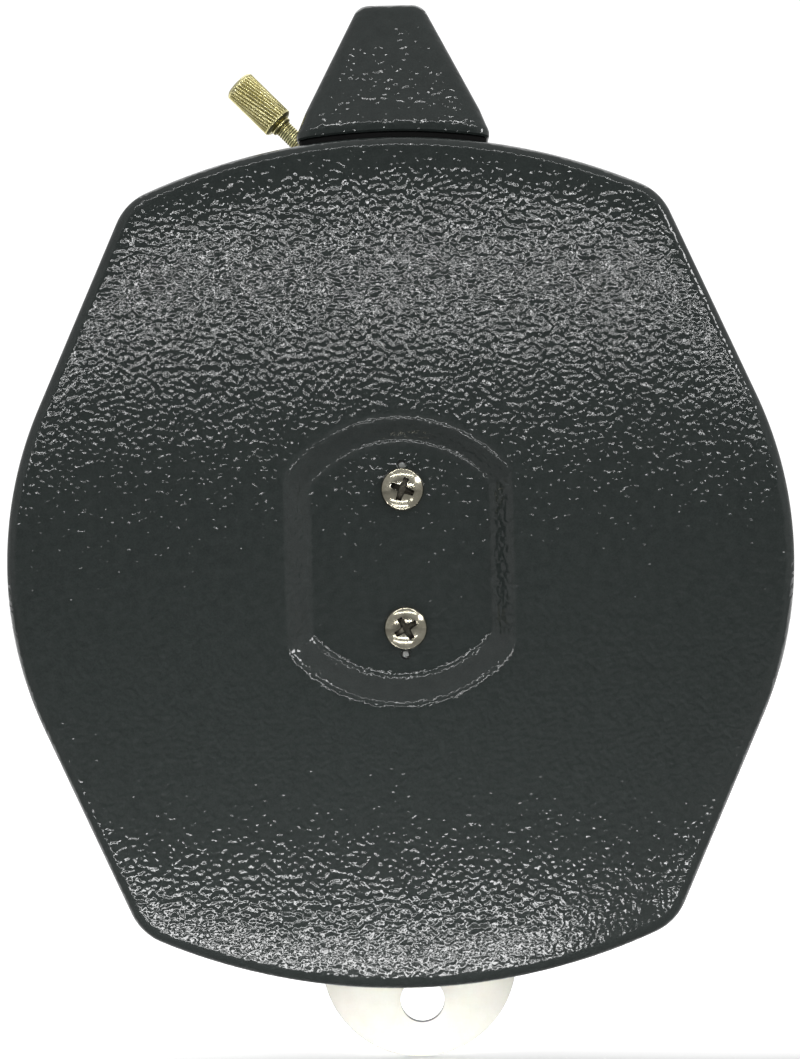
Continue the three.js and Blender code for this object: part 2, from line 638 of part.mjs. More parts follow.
add("spool_back_flange", flangePlate(SPOOL.back, drumBack - SNUG / 2, SPOOL.bushBore), reelPlastic);
add("spool_drum", spoolDrum(), reelPlastic);
add("spool_front_flange", flangePlate(drumFront + SNUG / 2, SPOOL.front, SPOOL.hubBore), reelPlastic);
spoolScrewPlaces.forEach(([x, z], i) => {
  add(`spool_screw_${i + 1}`, moved(panScrew(SPOOL_SCREW), x, SPOOL.front + 0.02, z), zinc);
});
add("spool_bush", spoolBush(), whiteNylon);
add("wound_line", woundLine(), cotton);
add("line_lead", lineLead(), cotton);

add("hub_seal", ring(HUB.shank + 0.2, 16, 36, 38.6), felt);
add("hub_bush", hubBush(), whiteNylon);
add("crank_hub", crankHub(), castZinc);
add("crank_arm", crankArm(), nickel);
add("hub_washer", ring(2.7, 8, ARM.back + ARM.thick + SNUG, 50.7, 28), zinc);
add("hub_screw", moved(panScrew(HUB_SCREW), 0, 50.75, 0), nickel);
add("knob_washer", onPin([[2.7, 49.7], [6.4, 49.7], [6.4, 50.5], [2.7, 50.5]]), zinc);
add("crank_knob", knob(), knobPlastic);
add("knob_pin", knobPin(), zinc);

export default reel;
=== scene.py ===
# %% [markdown]
# # A chalk line reel
#
# The reel is a flat barrel-shaped steel case with a tapered nose, a knurled lock screw, a hanging tab, and
# a crank that winds the line back in. The imported model fixes where every part is and how it moves. This
# lesson gives each part its fine surface and its finish: enamel with an orange-peel relief, knurled brass,
# nickel.
#
# The frame comes first. Its box is kept, and the floor is later put just under its lowest point.

import math

import bpy
import numpy as np
from mathutils import Euler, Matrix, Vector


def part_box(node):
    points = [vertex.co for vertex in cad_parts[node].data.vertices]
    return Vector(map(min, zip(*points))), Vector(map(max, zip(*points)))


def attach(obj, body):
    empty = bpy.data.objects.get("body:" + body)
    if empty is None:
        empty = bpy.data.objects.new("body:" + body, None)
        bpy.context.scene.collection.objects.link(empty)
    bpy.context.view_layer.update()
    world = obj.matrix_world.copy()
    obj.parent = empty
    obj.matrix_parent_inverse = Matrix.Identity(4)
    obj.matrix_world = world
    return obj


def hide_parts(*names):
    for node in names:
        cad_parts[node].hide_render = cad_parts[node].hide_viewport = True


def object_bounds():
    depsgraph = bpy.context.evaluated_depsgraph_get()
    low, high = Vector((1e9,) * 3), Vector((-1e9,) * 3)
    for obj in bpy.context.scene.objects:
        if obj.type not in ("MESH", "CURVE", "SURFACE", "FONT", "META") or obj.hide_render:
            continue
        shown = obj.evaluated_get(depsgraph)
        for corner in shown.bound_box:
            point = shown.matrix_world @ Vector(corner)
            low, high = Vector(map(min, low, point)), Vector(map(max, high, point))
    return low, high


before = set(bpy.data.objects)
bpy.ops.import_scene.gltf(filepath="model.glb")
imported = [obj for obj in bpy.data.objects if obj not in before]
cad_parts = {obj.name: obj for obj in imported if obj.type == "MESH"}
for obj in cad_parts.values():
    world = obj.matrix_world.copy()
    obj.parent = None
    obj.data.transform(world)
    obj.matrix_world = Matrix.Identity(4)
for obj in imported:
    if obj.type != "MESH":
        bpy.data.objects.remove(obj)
cad_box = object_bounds()

# %% [markdown]
# Blender works in metres and the reel is easier to describe in millimetres, so every shape below is worked
# out in millimetres and turned into metres once, when its mesh is made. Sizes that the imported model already
# knows are read from its nodes' boxes.

# %% Sizes taken from the frame
MM = 0.001


def span(node):
    """Lowest and highest corner of a CAD node at rest, in millimetres."""
    low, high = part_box(node)
    return np.array(low) / MM, np.array(high) / MM


def middle_xz(node):
    """Where a node's axis along Y stands: the middle of its box in x and z."""
    low, high = span(node)
    return (low[0] + high[0]) / 2, (low[2] + high[2]) / 2


def ring_section(inner, outer, low, high):
    """The closed profile of a plain ring between two depths."""
    return [(inner, low), (outer, low), (outer, high), (inner, high)]


def lifted(loop, y):
    """A loop [x, z] as a ring of points at the depth y."""
    return np.stack([loop[:, 0], np.full(len(loop), y), loop[:, 1]], 1)


shell_low, shell_high = span("rear_shell")
cover_low, cover_high = span("front_cover")
nose_low, nose_high = span("nose")
BACK, SEAM = shell_low[1], shell_high[1]
COVER_RIM, DOME_TOP = cover_low[1], cover_high[1]
DOME_HEIGHT = 2.5
FRONT = DOME_TOP - DOME_HEIGHT
HALF_HEIGHT = shell_high[2]
WALL = 2.2
EDGE = 2.5
print(f"case {2 * shell_high[0]:.1f} x {2 * HALF_HEIGHT:.1f} mm, seam at y = {SEAM:.1f}")

# %% [markdown]
# ## The camera
#
# The reel is seen square on to its back, from about half a metre, with a lens a little longer than normal.
# It is shown leaning slightly to the left, so the camera is rolled by the same small angle.

# %% Camera
CAMERA_DISTANCE = 450.0
CAMERA_HEIGHT = 6.3
CAMERA_ROLL = math.radians(1.25)
LENS = 80.5

camera_data = bpy.data.cameras.new("camera")
camera_data.lens = LENS
camera_data.sensor_width = 36.0
camera = bpy.data.objects.new("camera", camera_data)
camera.location = (0.0, (BACK - CAMERA_DISTANCE) * MM, CAMERA_HEIGHT * MM)
camera.rotation_euler = Euler((math.radians(90), 0.0, 0.0))
camera.rotation_euler.rotate_axis("Z", -CAMERA_ROLL)
bpy.context.scene.collection.objects.link(camera)
bpy.context.scene.camera = camera
bpy.context.scene.view_settings.view_transform = "Standard"
print(f"camera {CAMERA_DISTANCE:.0f} mm behind the back face, lens {LENS} mm")

# %% [markdown]
# ## Surfaces from rings
#
# Nearly every part here can be described as a stack of closed rings: a turned screw, the nose, even the
# drawn case. An array of rings with the same number of points becomes a mesh by joining neighbours, which
# numpy does for all of them at once. The volume's sign tells whether the faces point outwards.

# %% Rings to a closed skin
def face_volume(points, faces):
    """Six times the volume inside the faces: the sum of a . (b x c) over each face's triangles."""
    total = 0.0
    by_length = {}
    for face in faces:
        by_length.setdefault(len(face), []).append(face)
    for length, group in by_length.items():
        corners = points[np.array(group)]
        for k in range(1, length - 1):
            cross = np.cross(corners[:, k], corners[:, k + 1])
            total += float((corners[:, 0] * cross).sum())
    return total


def stitched(rings, closed=False):
    """Points and faces of a skin over rings[v, u, xyz]. Each ring is joined to the next, point by point.

    A closed profile also joins the last ring to the first. Otherwise the two end rings are closed by a fan of
    triangles to their middle points.
    """
    rings = np.asarray(rings, float)
    count, width, _ = rings.shape
    points = rings.reshape(-1, 3)
    here = np.arange(width)
    there = (here + 1) % width
    lower = np.arange(count if closed else count - 1)[:, None] * width
    upper = (lower + width) % (count * width)
    faces = np.stack([lower + here, lower + there, upper + there, upper + here], -1).reshape(-1, 4).tolist()
    if not closed:
        top = (count - 1) * width
        middle = count * width
        points = np.vstack([points, rings[0].mean(0), rings[-1].mean(0)])
        faces += np.stack([there, here, np.full(width, middle)], -1).tolist()
        faces += np.stack([top + here, top + there, np.full(width, middle + 1)], -1).tolist()
    if face_volume(points, faces) < 0:
        faces = [face[::-1] for face in faces]
    return points, faces


def as_mesh(name, skin):
    """A Blender mesh, in metres, of a skin in millimetres."""
    mesh = bpy.data.meshes.new(name)
    mesh.from_pydata(skin[0] * MM, [], skin[1])
    return mesh


unit_square = np.array([(0.0, 0.0), (1.0, 0.0), (1.0, 1.0), (0.0, 1.0)])
unit_block = stitched([lifted(unit_square, y) for y in (0.0, 1.0)])
print("a plain block is", len(unit_block[1]), "faces, with its two fans")

# %% [markdown]
# A few shapes need holes that rings can't give, such as the neck's opening in the case wall. Blender's
# exact boolean cuts them. The tools and the target are only put in the scene for as long as the cut takes.

# %% Boolean cuts and joins
def carved(target, *tools, operation="DIFFERENCE"):
    """The target skin with each tool skin cut from it, or joined to it."""
    made = []
    for number, skin in enumerate((target, *tools)):
        made.append(bpy.data.objects.new(f"carving_{number}", as_mesh(f"carving_{number}", skin)))
        bpy.context.scene.collection.objects.link(made[-1])
    for tool in made[1:]:
        modifier = made[0].modifiers.new("carve", "BOOLEAN")
        modifier.object = tool
        modifier.operation = operation
        modifier.solver = "EXACT"
    graph = bpy.context.evaluated_depsgraph_get()
    result = bpy.data.meshes.new_from_object(made[0].evaluated_get(graph))
    points = np.zeros(len(result.vertices) * 3)
    result.vertices.foreach_get("co", points)
    faces = [list(polygon.vertices) for polygon in result.polygons]
    for thing in made:
        bpy.data.objects.remove(thing)
    return points.reshape(-1, 3) / MM, faces


cut_block = carved(unit_block, (unit_block[0] + 0.5, unit_block[1]))
print("a block with a corner cut out is", len(cut_block[1]), "faces")

# %% [markdown]
# Each finished skin becomes an object at the origin that rides on its CAD body and stands for its CAD node.
# Smooth shading with sharp edges above a crease angle keeps flat faces flat and round ones round.

# %% Put a piece in the scene
pieces_made = {}


def put(node, skin, body, finish, crease=35, rim=None):
    """Makes a skin the visible piece for a CAD node, named after it, on that body and with that finish.

    A third part of the skin, if it has one, is kept as the attribute "pit". The rim finish goes on the
    faces of a sheared edge, which are those that don't face along Y; its dark colour is painted edge shade.
    """
    mesh = as_mesh(f"{node}_fine", skin)
    mesh.shade_smooth()
    mesh.set_sharp_from_angle(angle=math.radians(crease))
    piece = bpy.data.objects.new(f"{node}_fine", mesh)
    bpy.context.scene.collection.objects.link(piece)
    mesh.materials.append(finish)
    if len(skin) > 2:
        mesh.attributes.new("pit", "FLOAT", "POINT").data.foreach_set("value", skin[2].astype(np.float32))
    # The edge faces get the dark edge material, which is painted edge shade.
    if rim:
        mesh.materials.append(rim)
        normals = np.zeros(len(mesh.polygons) * 3)
        mesh.polygons.foreach_get("normal", normals)
        on_edge = np.abs(normals.reshape(-1, 3)[:, 1]) < 0.8
        mesh.polygons.foreach_set("material_index", on_edge.astype(np.int32))
    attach(piece, body)
    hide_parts(node)
    pieces_made[node] = len(skin[1])
    return piece


def tell(*nodes):
    """Prints how many faces each of these pieces has."""
    print("faces:", ", ".join(f"{node} {pieces_made[node]}" for node in nodes))


# %% [markdown]
# ## Turned parts
#
# A turned part is a profile of radius and height, swept round an axis. Real turned parts have small broken
# edges, which catch the light, so the corners of a profile are rounded before it is swept.

# %% Profiles and turning
def rounded(profile, radius=0.25, steps=3, closed=False):
    """A polyline of [r, h] with each corner replaced by a quadratic curve that starts radius before it."""
    corners = np.array(profile, float)
    count = len(corners)
    result = []
    for i, corner in enumerate(corners):
        if not closed and i in (0, count - 1):
            result.append(corner)
            continue
        before, after = corners[i - 1] - corner, corners[(i + 1) % count] - corner
        start = corner + before / np.linalg.norm(before) * min(radius, np.linalg.norm(before) * 0.45)
        end = corner + after / np.linalg.norm(after) * min(radius, np.linalg.norm(after) * 0.45)
        t = np.linspace(0, 1, steps + 1)[:, None]
        result.extend((1 - t) ** 2 * start + 2 * t * (1 - t) * corner + t**2 * end)
    return np.array(result)


def swept(profile, origin, axis, turn=None, segments=64):
    """Rings of a profile [r, h] turned about an axis: origin + h axis + r (cos a side + sin a other)."""
    axis = np.array(axis, float) / np.linalg.norm(axis)
    side = np.cross([0.0, 1.0, 0.0] if abs(axis[1]) < 0.9 else [1.0, 0.0, 0.0], axis)
    side /= np.linalg.norm(side)
    other = np.cross(axis, side)
    angle = np.linspace(0, 2 * np.pi, segments, endpoint=False)
    profile = np.asarray(profile, float)
    radius = profile[:, 0:1] if turn is None else turn(angle[None, :], profile)
    around = np.cos(angle)[:, None] * side + np.sin(angle)[:, None] * other
    return np.array(origin, float) + profile[:, 1, None, None] * axis + radius[..., None] * around


ALONG_Y = (0.0, 1.0, 0.0)


def turned(profile, x=0.0, z=0.0, edge=0.25, segments=64, bored=False):
    """A skin turned about a line along Y. A bored profile closes on itself; any other ends on the axis."""
    shaped = rounded(profile, edge, closed=bored)
    if not bored:
        shaped[[0, -1], 0] = 0.02
    return stitched(swept(shaped, (x, 0.0, z), ALONG_Y, segments=segments), closed=bored)


print("a plain turned pin is", len(turned([(0, 0), (5, 0), (5, 20), (0, 20)])[1]), "faces")

# %% [markdown]
# ## Shader maths as Python
#
# A material's pattern is a sum of noises and masks. Wrapping a socket in a small class lets that sum be
# written as an expression: each operator adds one Math node. Every other node comes from `Finish.node`.

# %% Wires and finishes
class Wire:
    """The output of a shader node. Arithmetic on it adds Math nodes."""

    def __init__(self, finish, socket):
        self.finish = finish
        self.socket = socket

    def math(self, operation, *values):
        return self.finish.node("ShaderNodeMath", {"operation": operation}, dict(enumerate(values)))

    def __add__(self, other):
        return self.math("ADD", self, other)

    def __radd__(self, other):
        return self.math("ADD", other, self)

    def __sub__(self, other):
        return self.math("SUBTRACT", self, other)

    def __rsub__(self, other):
        return self.math("SUBTRACT", other, self)

    def __mul__(self, other):
        return self.math("MULTIPLY", self, other)

    def __rmul__(self, other):
        return self.math("MULTIPLY", other, self)


class Finish:
    """One material: a Principled shader, and the nodes that feed it."""

    def __init__(self, name, **constants):
        self.material = bpy.data.materials.new(name)
        self.material.use_nodes = True
        self.tree = self.material.node_tree
        self.shader = self.tree.nodes["Principled BSDF"]
        for socket, value in constants.items():
            self.shader.inputs[socket.replace("_", " ")].default_value = value

    def node(self, kind, settings=None, inputs=None, output=0):
        """A new node with its settings, then its sockets' values or links. Returns one output as a Wire."""
        made = self.tree.nodes.new(kind)
        for key, value in (settings or {}).items():
            if key == "stops":
                for element, (place, colour) in zip(self.ramp_elements(made, len(value)), value):
                    element.position = place
                    element.color = (*colour, 1.0)
            else:
                setattr(made, key, value)
        for key, value in (inputs or {}).items():
            if isinstance(value, Wire):
                self.tree.links.new(value.socket, made.inputs[key])
            else:
                made.inputs[key].default_value = value
        return Wire(self, made.outputs[output])

    @staticmethod
    def ramp_elements(made, wanted):
        elements = made.color_ramp.elements
        while len(elements) < wanted:
            elements.new(1.0)
        return elements

    def place(self, scale=(1.0, 1.0, 1.0)):
        """Object coordinates, stretched by a Mapping node."""
        where = self.node("ShaderNodeTexCoord", output="Object")
        return self.node("ShaderNodeMapping", None, {"Vector": where, "Scale": scale})

    def noise(self, per_mm, detail=2.0, roughness=0.5, distortion=0.0, where=None):
        """Noise from 0 to 1, with about per_mm patches to the millimetre."""
        inputs = {
            "Vector": where or self.place(),
            "Scale": per_mm / MM,
            "Detail": detail,
            "Roughness": roughness,
            "Distortion": distortion,
        }
        return self.node("ShaderNodeTexNoise", None, inputs)

    def ramp(self, value, *stops):
        """A colour ramp over a value. Each stop is a place and a colour."""
        return self.node("ShaderNodeValToRGB", {"stops": stops}, {"Fac": value})

    def relief(self, height, depth_mm):
        """A bump of a height from 0 to 1, depth_mm deep."""
        inputs = {"Height": height, "Distance": depth_mm * MM, "Strength": 1.0}
        return self.node("ShaderNodeBump", None, inputs)

    def wire(self, **links):
        """Links wires to the Principled shader's sockets."""
        for socket, value in links.items():
            self.tree.links.new(value.socket, self.shader.inputs[socket.replace("_", " ")])
        return self.material


def grey(value):
    return (value, value, value)


print("a middle grey is", grey(0.5))

# %% [markdown]
# ## Orange-peel enamel
#
# The case and the nose are sprayed with a thick dark grey-green enamel that dries with a coarse rolling
# relief, about a millimetre from crest to crest. The relief tilts the gloss by two or three degrees only,
# so a lamp shows as thin broken squiggles where the slope is right, and the paint stays dark everywhere
# else. Smooth noise with a low relief does that; a rough shader would smear it into a grey sheen.

# %% Enamel
ENAMEL_DEPTH_MM = 0.115


def orange_peel_enamel():
    enamel = Finish("orange_peel_enamel", IOR=1.5, Roughness=0.14)
    rolling = enamel.noise(0.98, detail=0.5, roughness=0.4, distortion=0.3)
    fine = enamel.noise(3.4, detail=2.0)
    pores = enamel.noise(0.5, detail=1.0)
    height = rolling + 0.035 * fine
    shade = fine * 0.55 + pores * 0.45
    colour = enamel.ramp(shade, (0.3, (0.0185, 0.0235, 0.0222)), (0.7, (0.030, 0.0365, 0.0345)))
    gloss = 0.035 + 0.03 * fine
    return enamel.wire(Base_Color=colour, Roughness=gloss, Normal=enamel.relief(height, ENAMEL_DEPTH_MM))


enamel = orange_peel_enamel()
print("enamel:", len(enamel.node_tree.nodes), "nodes")

# %% [markdown]
# ## Metals
#
# Nickel, zinc and brass differ in colour and in how evenly they shine. Each has a faint cloudiness in its
# roughness and a very low relief, so a highlight breaks up the way it does on plated and turned metal.

# %% Nickel, zinc, brass and castings
def plated(name, dark, light, gloss, relief_mm, per_mm=2.0, metallic=1.0, stretch=(1, 1, 1), pit_shade=None):
    """A metal whose colour runs between two tones and whose roughness runs over the gloss pair.

    Pit shade is a colour and the stops of a ramp: how much of that colour, as painted shade, lies in a
    recess, from its lip to its floor. How deep each point lies is the mesh's attribute "pit".
    """
    metal = Finish(name, Metallic=metallic)
    where = metal.place(stretch)
    cloud = metal.noise(0.35, detail=3.0)
    grain = metal.noise(per_mm, detail=3.0, where=where)
    colour = metal.ramp(cloud * 0.6 + grain * 0.4, (0.35, dark), (0.65, light))
    roughness = gloss[0] + (gloss[1] - gloss[0]) * grain
    # Painted shade: the pit's share of the dark colour stands for the shade that falls into recesses.
    if pit_shade:
        tone, stops = pit_shade
        pit = metal.node("ShaderNodeAttribute", {"attribute_name": "pit"}, output="Fac")
        share = metal.ramp(pit, *[(place, grey(amount)) for place, amount in stops])
        inputs = {0: share, 6: colour, 7: (*tone, 1.0)}
        colour = metal.node("ShaderNodeMix", {"data_type": "RGBA"}, inputs, output=2)
        roughness = roughness + 0.25 * pit
    return metal.wire(Base_Color=colour, Roughness=roughness, Normal=metal.relief(grain, relief_mm))


# The near-black in the screws' cross recesses is painted shade.
screw_nickel = plated(
    "nickel_screw", (0.33, 0.31, 0.24), (0.5, 0.475, 0.38), (0.09, 0.2), 0.003, per_mm=1.5,
    pit_shade=((0.012, 0.010, 0.008), ((0.0, 0.0), (0.05, 1.0), (0.6, 0.98), (0.9, 0.86))),
)
# Sheared edges: rougher metal, coloured dark as painted edge shade.
edge_shade_metal = plated("sheared_edge_painted_shade", (0.10, 0.10, 0.095), (0.22, 0.22, 0.21), (0.3, 0.5), 0.01)
zinc = plated("zinc_plate", (0.96, 0.94, 0.84), (0.99, 0.975, 0.89), (0.42, 0.58), 0.004, metallic=0.15)
brass = plated("turned_brass", (0.66, 0.58, 0.25), (0.88, 0.82, 0.46), (0.24, 0.36), 0.002, per_mm=3.0)
# The dark olive in the knurl's grooves is painted shade.
knurled_brass = plated(
    "knurled_brass", (0.70, 0.63, 0.28), (0.92, 0.87, 0.52), (0.26, 0.36), 0.002, per_mm=3.0,
    pit_shade=((0.26, 0.22, 0.06), ((0.0, 0.0), (0.35, 0.05), (0.85, 1.0))),
)
cast_zinc = plated("cast_zinc", (0.22, 0.23, 0.22), (0.32, 0.33, 0.32), (0.42, 0.6), 0.03, per_mm=1.2)
steel = plated(
    "brushed_crank_steel", (0.44, 0.43, 0.41), (0.62, 0.61, 0.58), (0.2, 0.36), 0.004,
    per_mm=4.0, stretch=(1.0, 1.0, 0.06),
)
metals = (screw_nickel, edge_shade_metal, zinc, brass, knurled_brass, cast_zinc, steel)
print("metals:", ", ".join(metal.name for metal in metals))

# %% [markdown]
# ## Rubber, plastics, felt and line
#
# These are dull and only just uneven. Rubber and moulded plastic get a fine pebbled relief. Felt is matted
# fibre, so its relief is deeper and its colour is mottled. The line's strands are real geometry, and its
# finish only mottles its colour between chalk blue and grey.

# %% Soft and moulded finishes
def moulded(name, dark, light, gloss, relief_mm, per_mm, **constants):
    """A non-metal with fine mottling between two tones, an uneven gloss and a pebbled relief."""
    stuff = Finish(name, **constants)
    fine = stuff.noise(per_mm, detail=3.0, roughness=0.6)
    broad = stuff.noise(per_mm * 0.12, detail=2.0)
    colour = stuff.ramp(fine * 0.6 + broad * 0.4, (0.35, dark), (0.65, light))
    roughness = gloss[0] + (gloss[1] - gloss[0]) * broad
    return stuff.wire(Base_Color=colour, Roughness=roughness, Normal=stuff.relief(fine, relief_mm))


# The gaskets are rubber, and their near-black colour is also painted shadow of the gaps they fill.
gap_shadow_rubber = moulded("seal_rubber", grey(0.002), grey(0.004), (0.7, 0.85), 0.02, 3.0, IOR=1.25)
reel_plastic = moulded("reel_plastic", (0.016, 0.018, 0.02), (0.026, 0.028, 0.03), (0.4, 0.55), 0.01, 2.5)
knob_plastic = moulded("knob_plastic", grey(0.009), grey(0.015), (0.24, 0.36), 0.012, 1.6)
nylon = moulded("natural_nylon", (0.64, 0.61, 0.53), (0.74, 0.71, 0.63), (0.4, 0.55), 0.006, 2.0)
felt = moulded("wool_felt", (0.30, 0.27, 0.21), (0.56, 0.52, 0.43), (0.95, 1.0), 0.16, 4.0, Sheen_Weight=0.4)
cotton = moulded("cotton_line", (0.44, 0.50, 0.62), (0.76, 0.78, 0.80), (0.85, 0.95), 0.05, 6.0)
soft_finishes = (gap_shadow_rubber, reel_plastic, knob_plastic, nylon, felt, cotton)
print("soft finishes:", ", ".join(stuff.name for stuff in soft_finishes))

# %% [markdown]
# ## The case outline
#
# Seen square on, a quarter of the case is four curves in a row: an arc round the reel's axis, a straight
# flank tangent to it, a small corner, and a large end arc. An offset by some inset keeps the centres and
# shortens the radii, so the same numbers give the wall's inside, its outside and its rounded edge.

# %% Centres of the outline's arcs
SIDE_RADIUS = float(shell_high[0])
FLARE = math.radians(24.1)
END_RADIUS = 119.0
CORNER_RADIUS = 11.0
NORMAL_X, NORMAL_Z = math.cos(FLARE), math.sin(FLARE)
END_CENTRE = HALF_HEIGHT - END_RADIUS
REACH = SIDE_RADIUS - CORNER_RADIUS
SLIDE = NORMAL_X * END_CENTRE + math.sqrt(
    (END_RADIUS - CORNER_RADIUS) ** 2 - (REACH - NORMAL_Z * END_CENTRE) ** 2
)
CORNER_X = NORMAL_X * REACH - NORMAL_Z * SLIDE
CORNER_Z = NORMAL_Z * REACH + NORMAL_X * SLIDE
CORNER_MEETS_END = math.atan2(CORNER_Z - END_CENTRE, CORNER_X)
print(f"outline: corner centre at ({CORNER_X:.1f}, {CORNER_Z:.1f}) mm")

# %% [markdown]
# ## The rear shell
#
# The shell is one drawn sheet with a recess pressed into its back, and it can be made the same way: as one
# sheet of rings that starts at the middle of the recess, climbs the recess wall, crosses the back, turns
# over the rounded edge, runs down the side to the seam, and comes back along the inside. Each ring is given
# by its distance from the axis at every bearing, so that rings of different shapes still join point to
# point.

# %% Rings of the case
AROUND = 640
BEARING = np.linspace(0, 2 * np.pi, AROUND, endpoint=False)
COS, SIN = np.cos(BEARING), np.sin(BEARING)


def case_reach(inset):
    """The case outline's distance from the axis at every bearing, at an inset."""
    along = np.linspace(0, 1, 400)
    turn = along * FLARE
    side = np.stack([np.cos(turn), np.sin(turn)], 1) * (SIDE_RADIUS - inset)
    turn = FLARE + along * (CORNER_MEETS_END - FLARE)
    corner = np.stack([np.cos(turn), np.sin(turn)], 1) * (CORNER_RADIUS - inset) + (CORNER_X, CORNER_Z)
    turn = CORNER_MEETS_END + along * (np.pi / 2 - CORNER_MEETS_END)
    end = np.stack([np.cos(turn), np.sin(turn)], 1) * (END_RADIUS - inset) + (0.0, END_CENTRE)
    flank = side[-1] + (corner[0] - side[-1]) * along[1:-1, None]
    quarter = np.vstack([side, flank, corner, end])
    bearing = np.arctan2(quarter[:, 1], quarter[:, 0])
    folded = np.arctan2(np.abs(SIN), np.abs(COS))
    return np.interp(folded, bearing, np.hypot(quarter[:, 0], quarter[:, 1]))


def chorded_reach(radius, half, crispness=70.0):
    """A circle cut off by two upright chords: the smaller of the two reaches, with a small fillet between."""
    chord = half / np.maximum(np.abs(COS), 1e-6)
    power = (radius ** -crispness + np.minimum(chord, 1e3) ** -crispness) ** (-1 / crispness)
    return power


def ring_at(reach, y, shift=(0.0, 0.0)):
    """One ring of points at a depth y, from its reach at every bearing."""
    reach = np.broadcast_to(reach, (AROUND,))
    return np.stack([reach * COS + shift[0], np.full(AROUND, float(y)), reach * SIN + shift[1]], 1)


def arc_steps(count):
    """Fractions of a quarter turn, as (1 - sin, 1 - cos): the inset and the depth of a rounded edge."""
    angle = np.linspace(0, np.pi / 2, count)
    return 1 - np.sin(angle), 1 - np.cos(angle)


def soft_step(s, k=0.09):
    """Runs from 0 before s = 0 to 1 after s = 1 in a straight slope with two rounded corners of size k."""
    softplus = lambda t: np.logaddexp(0, t)
    return k * (softplus(s / k) - softplus((s - 1) / k))


print(f"case reaches {case_reach(0).max():.1f} mm at its corners")

# %% [markdown]
# The recess has a flat floor, a conical wall and two flat chords. Its outline shrinks from the mouth to the
# floor while the depth follows a ramp with rounded ends. The inside of the sheet follows the same path, one
# wall thickness further in.

# %% Rear shell skin
MOUTH_RADIUS, MOUTH_HALF = 27.3, 21.6
FLOOR_RADIUS, FLOOR_HALF = 22.6, 17.4
MOUTH_SHIFT, FLOOR_SHIFT = (-0.2, 0.4), (0.1, 0.7)
RECESS_DEPTH = -BACK


def recess_rings(skin, mouth_y, count):
    """Rings from inside the floor's edge out to just past the mouth."""
    rings = []
    for s in np.linspace(1.3, -0.35, count):
        radius = FLOOR_RADIUS + (MOUTH_RADIUS - FLOOR_RADIUS) * (1 - s) + skin
        half = FLOOR_HALF + (MOUTH_HALF - FLOOR_HALF) * (1 - s) + skin
        shift = np.array(MOUTH_SHIFT) + (np.array(FLOOR_SHIFT) - MOUTH_SHIFT) * min(max(s, 0), 1)
        rings.append(ring_at(chorded_reach(radius, half), mouth_y + RECESS_DEPTH * soft_step(s), shift))
    return rings


def blended(inner, outer, shares):
    """Rings between two rings."""
    return [inner + (outer - inner) * share for share in shares]


def rear_shell_rings():
    climb = recess_rings(0.0, BACK, 30)
    floor = [climb[0] * (share, 1, share) for share in (0.02, 0.2, 0.4, 0.6, 0.8, 0.93)]
    inset, depth = arc_steps(9)
    edge = [ring_at(case_reach(EDGE * i), BACK + EDGE * d) for i, d in zip(inset, depth)]
    side = [ring_at(case_reach(0.0), y) for y in np.linspace(BACK + EDGE, SEAM - 0.3, 10)[1:]]
    rim = [ring_at(case_reach(0.12), SEAM), ring_at(case_reach(WALL - 0.12), SEAM)]
    inner_side = [ring_at(case_reach(WALL), y) for y in np.linspace(SEAM - 0.3, BACK + WALL + 0.6, 8)]
    inner_back = ring_at(case_reach(WALL + 0.6), BACK + WALL)
    pocket = recess_rings(1.0, BACK + WALL, 14)[::-1]
    flat = blended(climb[-1], edge[0], (0.1, 0.25, 0.45, 0.65, 0.85))
    inner_flat = blended(inner_back, pocket[0], (0.3, 0.6, 0.9))
    inner_floor = [pocket[-1] * (share, 1, share) for share in (0.7, 0.3, 0.02)]
    outside = [*floor, *climb, *flat, *edge, *side, *rim]
    return [*outside, *inner_side, inner_back, *inner_flat, *pocket, *inner_floor]


rear_skin = stitched(rear_shell_rings())
print(f"rear shell: {len(rear_skin[1])} faces before its openings are cut")

# %% [markdown]
# The pillars for the cover's screws stand inside. The collar's opening, the lock screw's hole, the tab's
# slot and the holes for the axle's screws and nibs are cut last, and go through cleanly because the sheet
# is closed. The neck opening and the slot are where two other parts pass through the wall.

# %% Openings in the rear shell
PILLARS = [middle_xz(f"cover_screw_{i}") for i in range(1, 7)]
BACK_SCREWS = [middle_xz("back_screw_top"), middle_xz("back_screw_bottom")]
NIBS = [(BACK_SCREWS[0][0], 18.6), (BACK_SCREWS[1][0] - 0.1, -17.6)]
NIB_RADIUS, NIB_HOLE = 0.62, 1.0
NOSE_Y = float(nose_low[1] + nose_high[1]) / 2
PILLAR_RADIUS = 4.4
LOCK_RISE = math.radians(45.6)
LOCK_AXIS = np.array([-math.cos(LOCK_RISE), 0.0, math.sin(LOCK_RISE)])
LOCK_TIP = np.array([-12.1, NOSE_Y, 76.85])


def rod(x, z, radius, y0, y1, segments=48):
    """A plain cylinder along Y."""
    return turned([(0, y0), (radius, y0), (radius, y1), (0, y1)], x, z, edge=0.01, segments=segments)


def lock_rod(radius, start, stop, segments=48):
    """A plain cylinder along the lock screw's axis, measured from the pad's end face."""
    profile = [(0.02, start), (radius, start), (radius, stop), (0.02, stop)]
    return stitched(swept(profile, LOCK_TIP, LOCK_AXIS, segments=segments))


